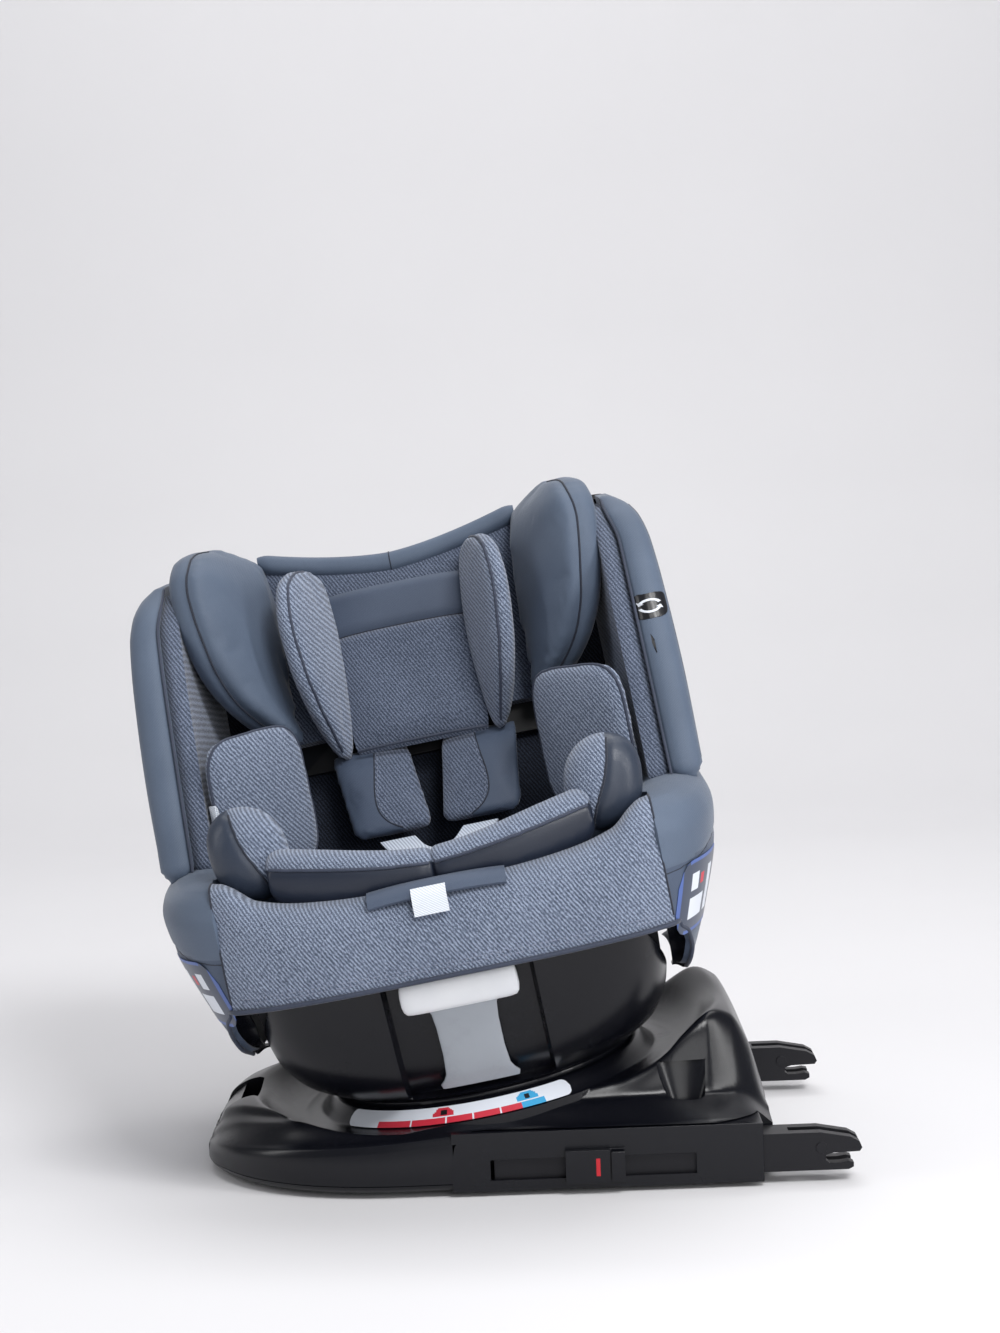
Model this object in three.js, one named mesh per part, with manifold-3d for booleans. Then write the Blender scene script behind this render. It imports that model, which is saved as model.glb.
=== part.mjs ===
// Convertible car seat: a padded bucket that reclines on a turntable, above a base with two
// rigid anchor arms. Millimetres, +Z up, origin on the ground under the middle of the turntable.
// The base runs along X with its anchor arms towards +X, and the seat faces -Y.
import * as THREE from "three";
import { mergeVertices } from "three/addons/utils/BufferGeometryUtils.js";
import Module from "manifold-3d";

const wasm = await Module();
wasm.setup();

// ---------- driving dimensions ----------
const GAP = 0.4; // clearance between pieces that touch
const TILT = THREE.MathUtils.degToRad(9.5); // the swivel axis leans towards the base's nose
const TURNTABLE_HEIGHT = 70; // ground to the turntable's middle
const BASE_HALF_WIDTH = 158;
const BASE_BOTTOM = 3;
const RAIL = { front: -28, back: 217, inner: 125.3, top: 50 }; // side rail covers
const SLOT = { front: 2, back: 164, low: 12, high: 28 };
const ARM = { y: 140, halfWidth: 13.5, low: 9, high: 39.5, inner: 5, pivotX: 263, pivotZ: 27 };
const DISC_RADIUS = 126;
const RECLINE = { radius: 205, y: -15, z: 262 }; // the seat shell's arc and the recline axis
const RECESS_HALF_WIDTH = 57; // the recline handle's recess in the cradle
const SEAT_FRONT = 207;
const COVER_TOP = 213;
const BACK_LEAN = THREE.MathUtils.degToRad(22);
const BACK_FOOT = { y: 45, z: 105 }; // where the backrest's surface meets the seat
const HEADREST = { low: 158, high: 336 }; // along the backrest

// ---------- materials ----------
const finish = (color, roughness, metalness = 0) =>
  new THREE.MeshStandardMaterial({ color, roughness, metalness });
const smoothFabric = finish(0x5d6877, 0.7);
const twillFabric = finish(0x6c7686, 0.9);
const darkFabric = finish(0x1a2030, 0.9);
const blackPlastic = finish(0x17181d, 0.4);
const greyPlastic = finish(0xdde2e6, 0.35);
const webbing = finish(0xb7c0cf, 0.8);
const blackSteel = finish(0x131417, 0.35, 0.7);
const steel = finish(0xc4c7cb, 0.3, 1);
const rubber = finish(0x101012, 0.9);
const redPlastic = finish(0xb02a35, 0.4);
const labelFilm = finish(0xc6ccd6, 0.5);

// ---------- solids ----------
function signedVolume(position, index) {
  const [a, b, c] = [new THREE.Vector3(), new THREE.Vector3(), new THREE.Vector3()];
  let sum = 0;
  for (let i = 0; i < index.length; i += 3) {
    a.fromBufferAttribute(position, index[i]);
    b.fromBufferAttribute(position, index[i + 1]);
    c.fromBufferAttribute(position, index[i + 2]);
    sum += a.dot(b.cross(c));
  }
  return sum;
}

// A closed three.js geometry as a manifold solid, turned to face outwards.
function toSolid(geometry) {
  const bare = geometry.index ? geometry.toNonIndexed() : geometry.clone();
  bare.deleteAttribute("normal");
  bare.deleteAttribute("uv");
  const merged = mergeVertices(bare, 1e-3);
  const triVerts = new Uint32Array(merged.index.array);
  if (signedVolume(merged.attributes.position, triVerts) < 0) triVerts.reverse();
  const vertProperties = merged.attributes.position.array;
  return new wasm.Manifold(new wasm.Mesh({ numProp: 3, vertProperties, triVerts }));
}

function toGeometry(solid) {
  const mesh = solid.getMesh();
  const position = new Float32Array(mesh.numVert * 3);
  for (let i = 0; i < mesh.numVert; i++) {
    const from = i * mesh.numProp;
    position.set(mesh.vertProperties.subarray(from, from + 3), i * 3);
  }
  return new THREE.BufferGeometry()
    .setAttribute("position", new THREE.BufferAttribute(position, 3))
    .setIndex(new THREE.BufferAttribute(mesh.triVerts, 1));
}

function addPart(group, name, solid, material) {
  const mesh = new THREE.Mesh(toGeometry(solid), material);
  mesh.name = name;
  group.add(mesh);
  return solid;
}

// A solid through closed rings of equal length; its ends are the first and last rings.
function loft(rings) {
  const count = rings[0].length;
  const position = rings.flat().flatMap((p) => [p.x, p.y, p.z]);
  const index = [];
  for (let r = 0; r + 1 < rings.length; r++)
    for (let i = 0; i < count; i++) {
      const j = (i + 1) % count;
      const [a, b] = [r * count + i, r * count + j];
      index.push(a, b, b + count, a, b + count, a + count);
    }
  const cap = (ring, start, flip) => {
    const normal = new THREE.Vector3();
    ring.forEach((p, i) => normal.add(p.clone().cross(ring[(i + 1) % count])));
    const flat = new THREE.Quaternion().setFromUnitVectors(normal.normalize(),
      new THREE.Vector3(0, 0, 1));
    const outline = ring.map((p) => p.clone().applyQuaternion(flat));
    for (const [a, b, c] of THREE.ShapeUtils.triangulateShape(outline, []))
      index.push(...(flip ? [c, b, a] : [a, b, c]).map((k) => k + start));
  };
  cap(rings[0], 0, true);
  cap(rings.at(-1), (rings.length - 1) * count, false);
  const geometry = new THREE.BufferGeometry();
  geometry.setAttribute("position", new THREE.Float32BufferAttribute(position, 3));
  geometry.setIndex(index);
  return toSolid(geometry);
}

function box(x, y, z) {
  const geometry = new THREE.BoxGeometry(x[1] - x[0], y[1] - y[0], z[1] - z[0]);
  geometry.translate((x[0] + x[1]) / 2, (y[0] + y[1]) / 2, (z[0] + z[1]) / 2);
  return toSolid(geometry);
}

// A turned solid about Z from a profile of [radius, height] pairs that closes on itself.
function turned(profile, segments = 48) {
  const points = [...profile, profile[0]].map(([r, h]) => new THREE.Vector2(r, h));
  const geometry = new THREE.LatheGeometry(points, segments);
  geometry.rotateX(Math.PI / 2);
  return toSolid(geometry);
}

function cylinderY(radius, x, y, z, segments = 20) {
  const geometry = new THREE.CylinderGeometry(radius, radius, y[1] - y[0], segments);
  geometry.translate(x, (y[0] + y[1]) / 2, z);
  return toSolid(geometry);
}

// A side outline of [y, z] pairs, given its width along X.
function sidePlate(outline, x) {
  const rings = x.map((at) => outline.map(([y, z]) => new THREE.Vector3(at, y, z)));
  return loft(rings);
}

// An outline of [x, z] pairs, given its depth along Y.
function frontPlate(outline, y) {
  const rings = y.map((at) => outline.map(([x, z]) => new THREE.Vector3(x, at, z)));
  return loft(rings);
}

const placed = (solid, matrix) => toSolid(toGeometry(solid).applyMatrix4(matrix));
const mirrored = (solid, axis) =>
  placed(solid, new THREE.Matrix4().makeScale(axis === "x" ? -1 : 1, axis === "y" ? -1 : 1, 1));

// A smooth value at x from [x, value] pairs in rising order.
function along(table, x) {
  if (x <= table[0][0]) return table[0][1];
  if (x >= table.at(-1)[0]) return table.at(-1)[1];
  const i = table.findIndex(([at]) => at > x) - 1;
  const slope = (k) => {
    const [a, b] = [table[Math.max(k - 1, 0)], table[Math.min(k + 1, table.length - 1)]];
    return (b[1] - a[1]) / (b[0] - a[0]);
  };
  const [[x0, y0], [x1, y1]] = [table[i], table[i + 1]];
  const h = x1 - x0;
  const t = (x - x0) / h;
  const [m0, m1] = [slope(i) * h, slope(i + 1) * h];
  const [t2, t3] = [t * t, t * t * t];
  return (2 * t3 - 3 * t2 + 1) * y0 + (t3 - 2 * t2 + t) * m0 + (3 * t2 - 2 * t3) * y1 + (t3 - t2) * m1;
}

const signedPower = (v, p) => Math.sign(v) * Math.abs(v) ** p;

// A rounded oblong in plan: a superellipse of half sizes a and b at height z.
function oblong(a, b, power, z, count = 36) {
  return Array.from({ length: count }, (_, i) => {
    const t = ((i + 0.5) / count) * 2 * Math.PI;
    const [x, y] = [signedPower(Math.cos(t), 2 / power), signedPower(Math.sin(t), 2 / power)];
    return new THREE.Vector3(a * x, b * y, z);
  });
}

// A lens-like ring between two points in a plane: thick in the middle, rounded at both ends.
function capsule(from, to, thickness, count = 14) {
  const middle = from.clone().add(to).multiplyScalar(0.5);
  const half = to.clone().sub(from).multiplyScalar(0.5);
  const side = new THREE.Vector3(-half.y, half.x, 0).setLength(thickness / 2);
  return Array.from({ length: count }, (_, i) => {
    const t = (i / count) * 2 * Math.PI;
    const [u, v] = [signedPower(Math.cos(t), 0.75), signedPower(Math.sin(t), 0.75)];
    return middle.clone().addScaledVector(half, u).addScaledVector(side, v);
  });
}

// A cushion in a local X-Z outline: crowned by "front" towards -Y and by "back" towards +Y.
function cushion(halfWidth, halfHeight, front, back, power = 3.2, count = 24) {
  const steps = [0.25, 0.62, 0.88, 1];
  const bulge = (s) => (1 - s ** 3) ** 0.5;
  const layer = (s, depth) =>
    oblong(halfWidth * s, halfHeight * s, power, 0, count).map((p) => new THREE.Vector3(p.x,
      depth * bulge(s), p.y));
  const rings = [
    ...steps.slice(0, 3).map((s) => layer(s, -front)),
    ...steps.slice().reverse().map((s) => layer(s, back)),
  ];
  return loft(rings);
}

// ---------- groups and local frames ----------
const seatAssembly = new THREE.Group();
const base = new THREE.Group();
const swivel = new THREE.Group(); // the turntable's frame: its own Z is the swivel axis
swivel.position.set(0, 0, TURNTABLE_HEIGHT);
swivel.rotation.y = -TILT;
const backrest = new THREE.Group(); // Z runs up the backrest's surface, -Y points to the front
backrest.position.set(0, BACK_FOOT.y, BACK_FOOT.z);
backrest.rotation.x = -BACK_LEAN;
swivel.add(backrest);
seatAssembly.add(base, swivel);
seatAssembly.updateMatrixWorld(true);

const inBaseFrame = (solid) => placed(solid, swivel.matrixWorld);

// ---------- base ----------
const NOSE_X = -233;
const TAIL_X = 228;
const nosePlan = (x) => {
  const t = Math.min(0, (x + 60) / 176);
  return BASE_HALF_WIDTH * (1 - Math.abs(t) ** 2.3) ** (1 / 2.3);
};
const CREST = [[-233, 20], [-226, 36], [-214, 48], [-200, 54], [-180, 57], [-140, 62], [-100, 66],
  [0, 86],
  [100, 108], [150, 118], [186, 126], [200, 121], [214, 98], [228, 52]];
const EDGE = [[-233, 17], [-222, 25], [-200, 33], [-150, 40], [-80, 46], [0, 52], [180, 54], [214, 50],
  [228, 40]];
const LEDGE = [[-233, 18], [-222, 30], [-200, 42], [-150, 52], [-80, 58], [0, 62], [110, 64],
  [200, 62], [228, 44]];
const SHOULDER = [[-233, 0.3], [-200, 0.55], [-150, 0.72], [0, 0.74], [110, 0.66], [190, 0.56],
  [228, 0.5]];

function baseSection(x) {
  const w = nosePlan(x) * along([[180, 1], [228, 0.86]], x);
  const shoulder = w * along(SHOULDER, x);
  const ledge = shoulder + (w - shoulder) * 0.45;
  const [crest, edge, shelf] = [along(CREST, x), along(EDGE, x), along(LEDGE, x)];
  const turn = Math.min(9, (edge - BASE_BOTTOM) * 0.35);
  const half = [
    [w * 0.94, BASE_BOTTOM],
    [w * 0.985, BASE_BOTTOM + turn / 3],
    [w, BASE_BOTTOM + turn],
    [w, edge - turn],
    [w * 0.985, edge - turn / 3],
    [w * 0.94, edge],
    [ledge, shelf],
    [ledge * 0.96, shelf + 2],
    [shoulder + 5, crest - 6],
    [shoulder - 3, crest - 1],
    [shoulder * 0.5, crest],
  ];
  const outline = [...half, ...half.map(([y, z]) => [-y, z]).reverse()];
  return outline.map(([y, z]) => new THREE.Vector3(x, y, z));
}

function makeHousing() {
  const stations = [NOSE_X, -229, -222, -213, -200, -184, -165, -140, -110, -70, -20, 40, 90, 120, 145,
    170, 188,
    200, 210, 220, TAIL_X];
  const block = loft(stations.map(baseSection));
  const dish = turned([[0, -11], [156, -11], [176, -3], [190, 12], [196, 18], [230, 60], [0, 60]], 72);
  const boss = turned([[110, -20], [143, -20], [143, -11], [132, 0.6], [129, 1.8], [110, 1.8]], 72);
  const well = turned([[0, -5], [DISC_RADIUS + 1.6, -5], [DISC_RADIUS + 1.6, 60], [0, 60]], 72);
  const boltHole = turned([[0, -50], [9.4, -50], [9.4, 0], [0, 0]], 24);
  const nutPocket = turned([[0, -60], [24, -60], [24, -22], [0, -22]], 24);
  let housing = block.subtract(inBaseFrame(dish)).add(inBaseFrame(boss));
  for (const cutter of [well, boltHole, nutPocket]) housing = housing.subtract(inBaseFrame(cutter));
  const cavity = box([-150, 205], [-118, 118], [-5, 26]).add(box([-60, 205], [-118, 118], [-5, 38]));
  housing = housing.subtract(cavity);
  for (const side of [-1, 1]) {
    const across = (a, b) => [side * a, side * b].sort((p, q) => p - q);
    housing = housing.subtract(box([RAIL.front - 0.6, 240], across(RAIL.inner - 0.6, 170),
      [-5, RAIL.top + 0.6]));
    housing = housing.subtract(box([-60, 0], across(RAIL.inner - 0.6, 154.8), [6, 44]));
    housing = housing.subtract(box([-50, 92], across(110, 130), [12, 38]));
    housing = housing.subtract(screwWell(side));
  }
  return housing.subtract(box([-250, -191], [-31, 31], [17, 80]));
}

const SCREW = { x: 160, y: 116, z: 62 };
function screwWell(side) {
  const well = turned([[0, -8], [6, -8], [11, 0], [13, 14], [0, 14]], 24);
  return placed(well, new THREE.Matrix4().makeTranslation(SCREW.x, side * SCREW.y, SCREW.z));
}
function makeScrew(side) {
  const head = turned([[0, -7.6], [4.6, -7.6], [4.6, -5.4], [2.2, -5], [2.2, -6.4], [0, -6.4]], 12);
  return placed(head, new THREE.Matrix4().makeTranslation(SCREW.x, side * SCREW.y, SCREW.z));
}

function makeRailCover(side) {
  const across = (a, b) => [side * a, side * b].sort((p, q) => p - q);
  const body = box([RAIL.front, RAIL.back], across(RAIL.inner, BASE_HALF_WIDTH), [BASE_BOTTOM, RAIL.top]);
  const channel = box([RAIL.front - 9, RAIL.back + 9], across(RAIL.inner - 9, BASE_HALF_WIDTH - 3.2),
    [6.4, 44]);
  const slot = box([SLOT.front, SLOT.back], across(150, 165), [SLOT.low, SLOT.high]);
  return body.subtract(channel).subtract(slot);
}

addPart(base, "base_housing", makeHousing(), blackPlastic);
addPart(base, "base_bottom_plate", box([-149, 204], [-117, 117], [2.8, 6]), blackPlastic);
for (const [name, y] of [["grip_strip_near", -84], ["grip_strip_middle", 0], ["grip_strip_far", 84]])
  addPart(base, name, box([-140, 195], [y - 14, y + 14], [0, 2.4]), rubber);
for (const [name, side] of [["near", -1], ["far", 1]]) {
  addPart(base, `rail_cover_${name}`, makeRailCover(side), blackPlastic);
  addPart(base, `housing_screw_${name}`, makeScrew(side), steel);
}

// Pivot bolt, fixed in the base.
const boltProfile = [[0, -34], [8.8, -34], [8.8, 6.5], [15, 6.5], [15, 9], [12, 10.5], [0, 10.5]];
addPart(swivel, "swivel_bolt", turned(boltProfile, 24), steel);

// Recline scale: a curved film on the ring's near flank.
function makeScale() {
  const film = turned([[143, -10.2], [143.7, -9.6], [133.5, 0.9], [132.8, 0.3]], 144);
  const window = box([-117, 70], [-170, -60], [-20, 10]);
  return film.intersect(window);
}
addPart(swivel, "recline_scale", makeScale(), labelFilm);

// Swivel release: a paddle in the nose.
const paddle = [[-206, 50], [-216, 42.5], [-225, 32], [-228, 24], [-221, 20], [-206, 28]];
addPart(base, "swivel_release_paddle", frontPlate(paddle, [-29.5, 29.5]), blackPlastic);

// ---------- anchor arms ----------
const armOutline = [[ARM.inner, ARM.low], [284, ARM.low], [288, 11], [288, 14.5], [284, 15.6],
  [277, 14.6],
  [269, 14.6], [266, 17], [266.5, 21], [272, 22.6], [293, 23.2], [295, 26], [293, 31], [286, 35],
  [262, ARM.high], [ARM.inner, ARM.high]];
const hookOutline = [[255, 23], [262, 22], [271, 23.4], [284, 23.8], [286, 27], [284, 31], [270, 35],
  [260, 35.6],
  [254, 31]];

function makeArm(side) {
  const across = (a, b) => [side * a, side * b].sort((p, q) => p - q);
  const bar = frontPlate(armOutline, across(ARM.y - ARM.halfWidth, ARM.y + ARM.halfWidth));
  const throat = box([238, 300], across(ARM.y - 4.6, ARM.y + 4.6), [0, 50]);
  const pin = cylinderY(4.6, ARM.pivotX, across(ARM.y - 14.2, ARM.y + 14.2), ARM.pivotZ);
  return bar.subtract(throat).add(pin);
}
function makeHook(side) {
  const across = (a, b) => [side * a, side * b].sort((p, q) => p - q);
  const plate = frontPlate(hookOutline, across(ARM.y - 4.2, ARM.y + 4.2));
  return plate.subtract(cylinderY(5, ARM.pivotX, across(ARM.y - 20, ARM.y + 20), ARM.pivotZ));
}
function makeSlider(side) {
  const across = (a, b) => [side * a, side * b].sort((p, q) => p - q);
  const foot = box([61, 108], across(158.4, 160), [8.5, 35]);
  const grip = box([61, 96], across(159, 165), [8.5, 35]);
  const neck = box([70, 100], across(153.9, 159), [13, 27]);
  return foot.add(grip).add(neck);
}
for (const [name, side] of [["near", -1], ["far", 1]]) {
  const across = (a, b) => [side * a, side * b].sort((p, q) => p - q);
  addPart(base, `anchor_arm_${name}`, makeArm(side), blackSteel);
  addPart(base, `latch_hook_${name}`, makeHook(side), steel);
  addPart(base, `arm_slider_${name}`, makeSlider(side), blackPlastic);
  addPart(base, `release_button_${name}`, box([97, 107.5], across(163.4, 166.2), [10, 33.5]),
    blackPlastic);
}
addPart(base, "arm_crossbar", cylinderY(8, 20, [-126.1, 126.1], 24, 24), steel);

// ---------- turntable ----------
const disc = [[9.4, -4.6], [DISC_RADIUS, -4.6], [DISC_RADIUS, 4.5], [DISC_RADIUS - 1.5, 6], [9.4, 6]];
addPart(swivel, "turntable", turned(disc, 72), blackPlastic);

// ---------- recline cradle and handle ----------
const arcPoint = (radius, degrees) => {
  const angle = THREE.MathUtils.degToRad(degrees);
  return [RECLINE.y + radius * Math.sin(angle), RECLINE.z - radius * Math.cos(angle)];
};
const arc = (radius, from, to, count) =>
  Array.from({ length: count }, (_, i) => arcPoint(radius, from + ((to - from) * i) / (count - 1)));
const CRADLE_X = [[6.4, 130], [14, 138], [30, 151], [60, 163], [90, 167], [125, 168], [142, 168]];
const CRADLE_Y = [[6.4, 129], [14, 133], [30, 140], [60, 148], [90, 154], [125, 160], [142, 161]];
const CRADLE_POWER = [[6.4, 2], [14, 2.4], [30, 3.4], [60, 4.8], [90, 5.4], [125, 5.8]];
const cradleShift = (z) => along([[6.4, 0], [14, -1], [30, -5], [60, -10], [90, -15], [125, -20],
  [142, -22]], z);
const cradleFront = (z) => cradleShift(z) - along(CRADLE_Y, z);

function cradleSolid(inset, heights) {
  const ring = (z) =>
    oblong(along(CRADLE_X, z) - inset, along(CRADLE_Y, z) - inset, along(CRADLE_POWER, z), z, 48)
      .map((p) => new THREE.Vector3(p.x, p.y + cradleShift(z), z));
  return loft(heights.map(ring));
}
// A block that follows the cradle's front face, between two depths behind it.
function frontBand(near, deep, [low, high], halfWidth) {
  const heights = Array.from({ length: 8 }, (_, i) => low + ((high - low) * i) / 7);
  const face = heights.map((z) => [cradleFront(z) + near, z]);
  const rear = heights.map((z) => [cradleFront(z) + deep, z]).reverse();
  return sidePlate([...face, ...rear], [-halfWidth, halfWidth]);
}
function makeCradle() {
  const bore = (radius) => sidePlate(arc(radius, -180, 172.5, 48), [-200, 200]);
  const cavity = cradleSolid(6, [5, 14, 30, 60, 90, 125, 142])
    .subtract(bore(RECLINE.radius + 7.5))
    .subtract(frontBand(-90, 18, [4, 150], RECESS_HALF_WIDTH + 6));
  return cradleSolid(0, [6.4, 14, 22, 30, 45, 60, 75, 90, 108, 125, 142])
    .subtract(bore(RECLINE.radius + 1.5))
    .subtract(cavity)
    .subtract(frontBand(-90, 12, [5, 150], RECESS_HALF_WIDTH))
    .subtract(box([-200, 200], [60, 200], [95, 200])); // room for the shell's rear when it reclines
}
addPart(swivel, "recline_cradle", makeCradle(), blackPlastic);

// The handle: a flared stem in the recess under a wide grip.
function makeHandle() {
  const stem = frontBand(3, 7.5, [14, 92], 25);
  const flare = frontBand(2, 7.5, [12, 24], 33);
  const grip = frontBand(-14, 7.5, [87, 116], 47);
  return stem.add(flare).add(grip);
}
addPart(swivel, "recline_handle", makeHandle(), greyPlastic);

// ---------- seat shell ----------
const SHELL_HALF_WIDTH = 160;
function makeSeatShell() {
  const { radius } = RECLINE;
  const runner = [...arc(radius, -52.6, 62, 25), ...arc(radius - 5, 62, -52.6, 25)];
  const floor = [[-172, 150], [-140, 140], [-70, 127], [0, 117], [60, 113], [90, 120], [104, 150],
    [112, 172],
    [199.4, 174], [199.4, 169], [116, 167], [109, 148], [95, 116], [62, 108], [0, 112], [-70, 122],
      [-140, 135],
    [-160, 138], [-171, 134]];
  const width = [-SHELL_HALF_WIDTH, SHELL_HALF_WIDTH];
  return sidePlate(runner, width).add(sidePlate(floor, width));
}
addPart(swivel, "seat_shell", makeSeatShell(), blackPlastic);

// ---------- fabric cover of the seat ----------
const COVER_WIDTH = [[58, 177], [84, 193], [118, 208], [165, 224], [192, 228], [205, 224], [213, 212]];
const COVER_POWER = 3.8;
function coverSolid(inset, heights, narrow) {
  const ring = (z) => {
    const half = Math.min(along(COVER_WIDTH, z) - inset, narrow(z));
    return oblong(half, SEAT_FRONT - inset - along([[190, 0], [213, 16]], z), COVER_POWER, z, 48);
  };
  return loft(heights.map(ring));
}
const SEAM_X = 174;
const coverBackEdge = (z) => 96 + (z - 160) * 0.18;
function makeSideCovers() {
  const outer = coverSolid(0, [58, 70, 84, 100, 118, 140, 165, 180, 192, 200, 206, 210, COVER_TOP],
    () => 999);
  const inner = coverSolid(12, [50, 58, 84, 118, 150, 165, 185, 230], (z) => along([[118, 197],
    [150, 192], [175, 180]], z));
  const opening = [[-170, 30], [-178, 60], [-186, 92], [-183, 108], [-172, 118], [172, 118],
    [183, 108], [186, 92],
    [178, 60], [170, 30]];
  const ring = outer.subtract(inner).subtract(frontPlate(opening, [-260, -60]));
  const side = ring.intersect(box([SEAM_X, 260], [-260, coverBackEdge(160)], [0, 260]));
  return { left: side, right: mirrored(side, "x") };
}
const sideCovers = makeSideCovers();
addPart(swivel, "seat_cover_left", sideCovers.left, smoothFabric);
addPart(swivel, "seat_cover_right", sideCovers.right, smoothFabric);

// Front skirt: a rolled lip that bows forward in plan, to meet the side covers at the seams.
function makeFrontCover() {
  const half = SEAM_X - GAP;
  const stations = [-1, -0.93, -0.82, -0.66, -0.45, -0.2, 0, 0.2, 0.45, 0.66, 0.82, 0.93,
    1].map((t) => t * half);
  const bow = (x) => SEAT_FRONT * (1 - (1 - Math.abs(x / 224) ** COVER_POWER) ** (1 / COVER_POWER));
  const ring = (x) => {
    const rise = along([[0, 0], [100, 3], [half, 16]], Math.abs(x));
    const profile = [[-204, 118.5], [-207, 136], [-207.5, 156], [-203, 174 + rise * 0.6],
      [-193, 184 + rise],
      [-180, 187 + rise], [-160, 184 + rise], [-160, 172 + rise], [-184, 170], [-196, 158],
        [-197, 118.5]];
    return profile.map(([y, z]) => new THREE.Vector3(x, y + bow(x), z));
  };
  return loft(stations.map(ring));
}
addPart(swivel, "seat_cover_front", makeFrontCover(), twillFabric);

// ---------- back shell, wings and liners ----------
const REAR = [[161, 205], [220, 212], [300, 217], [400, 222], [445, 222]];
const WING_FRONT = [[214, -70], [240, -60], [300, -34], [360, -6], [400, 18], [425, 40], [443, 70]];
const WING_JOIN = [[161, 98], [214, 106], [443, 168]];
const WING_OUTER = [[214, 226], [300, 228], [360, 227], [400, 225], [420, 221], [434, 213], [443, 200]];

function makeBackShell() {
  const ring = (z) => {
    const [rear, join] = [along(REAR, z), along(WING_JOIN, z)];
    const side = Math.min(222, along(WING_OUTER, z) - 3);
    const outer = [[side, join], [side, rear - 34], [side - 8, rear - 14], [side - 26, rear - 2],
      [side - 60, rear]];
    const inner = [[side - 60, rear - 5], [side - 28, rear - 7], [side - 13, rear - 18],
      [side - 5, rear - 36], [side - 5, join]];
    const left = [...inner, ...outer].map(([x, y]) => [-x, y]);
    const loop = [...outer, ...left.slice(5).reverse(), ...left.slice(0, 5).reverse(), ...inner];
    return loop.map(([x, y]) => new THREE.Vector3(x, y, z));
  };
  return loft([161, 190, 220, 260, 300, 350, 400, 420, 434, 443].map(ring));
}
const shellDip = frontPlate([[-168, 470], [-142, 424], [-110, 411], [110, 411], [142, 424],
  [168, 470]], [100, 260]);
addPart(swivel, "back_shell", makeBackShell().subtract(shellDip), blackPlastic);

function makeWing(innerX, outerAt, frontInset, heights) {
  const ring = (z) => {
    const [front, back] = [along(WING_FRONT, z) + frontInset, along(WING_JOIN, z) - GAP];
    const outer = outerAt(z);
    const nose = Math.min(12, (outer - innerX) * 0.45);
    const outline = [[innerX, back], [innerX, front + nose], [innerX + nose * 0.35, front + nose * 0.3],
      [innerX + nose, front], [outer - nose, front], [outer - nose * 0.3, front + nose * 0.35],
        [outer, front + nose * 1.2],
      [outer, back]];
    return outline.map(([x, y]) => new THREE.Vector3(x, y, z));
  };
  return loft(heights.map(ring));
}
const wingHeights = [214, 232, 265, 300, 340, 380, 405, 422, 434, 443];
const wing = makeWing(197.6, (z) => along(WING_OUTER, z), 0, wingHeights);
const liner = makeWing(187, () => 199, 10, wingHeights.slice(0, 9));
const linedWing = wing.add(liner);
addPart(swivel, "backrest_wing_left", linedWing, smoothFabric);
addPart(swivel, "backrest_wing_right", mirrored(linedWing, "x"), smoothFabric);

// The panel and pad between the wings, with two slots for the headrest's carrier.
const SLOT_X = 56;
function makeBackPad() {
  const [wide, narrow] = [172, 156];
  const outline = [[-wide, 304], [wide, 304], [wide, 68], [narrow, 68], [narrow, 34], [-narrow, 34],
    [-narrow, 68], [-wide, 68]];
  let panel = frontPlate(outline, [4, 26]);
  for (const x of [-SLOT_X, SLOT_X]) panel = panel.subtract(box([x - 6.5, x + 6.5], [-10, 60],
    [168, 352]));
  return panel;
}
addPart(backrest, "back_pad", makeBackPad(), darkFabric);

// ---------- headrest ----------
addPart(backrest, "headrest_shell", box([-112, 112], [-4.5, 1], [HEADREST.low + 2, HEADREST.high]),
  blackPlastic);
function makeCarrier() {
  const bridge = box([-64, 64], [33, 38], [176, 196]);
  return [-SLOT_X, SLOT_X].reduce((whole, x) => whole.add(box([x - 5, x + 5], [1.3, 35], [178, 194])),
    bridge);
}
addPart(backrest, "headrest_carrier", makeCarrier(), steel);
addPart(backrest, "headrest_release_handle", box([-38, 38], [1.5, 14], [318, 333]), greyPlastic);

function makeHeadrestPad() {
  const outline = [[-104, 0], [104, 0], [106, 184], [60, 180], [0, 174], [-60, 180], [-106, 184]];
  const shape = outline.map(([x, z]) => [x, z + HEADREST.low]);
  return frontPlate(shape, [-18, -5]);
}

// Rolled top edge of the headrest, dipping in the middle.
function makeTopRim() {
  const stations = Array.from({ length: 13 }, (_, i) => -104 + (i / 12) * 208);
  const ring = (x) => {
    const rise = 19 * Math.abs(x / 104) ** 1.6;
    return oblong(9, 10, 2.2, 0, 12).map((p) => new THREE.Vector3(x, p.y - 13,
      p.x + HEADREST.high + rise));
  };
  return loft(stations.map(ring));
}
const topRim = makeTopRim();

// Side bolsters of the headrest: upright leaves that splay outwards as they come forward.
const BOLSTER = [ // [height, outermost x, thickness, reach forward, root x]
  [176, 106, 20, 26, 98], [191, 134, 36, 52, 106], [216, 158, 44, 78, 114], [246, 172, 48, 97, 118],
  [282, 179, 50, 108, 119], [313, 181, 50, 108, 119], [337, 178, 44, 97, 119], [352, 169, 32, 80, 120],
  [361, 150, 16, 62, 124],
];
function makeBolster() {
  const ring = ([z, outer, thick, reach, rootX]) => {
    const root = new THREE.Vector3(rootX, -12, z);
    const tip = new THREE.Vector3(outer - thick * 0.42, -reach, z);
    return capsule(root, tip, thick, 16);
  };
  return loft(BOLSTER.map(ring));
}
const bolster = makeBolster();
const notched = bolster.subtract(box([80, 112.6], [-40, 20],
  [100, 400])); // room for the headrest's panel
addPart(backrest, "headrest_bolster_left", notched, smoothFabric);
addPart(backrest, "headrest_bolster_right", mirrored(notched, "x"), smoothFabric);
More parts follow.
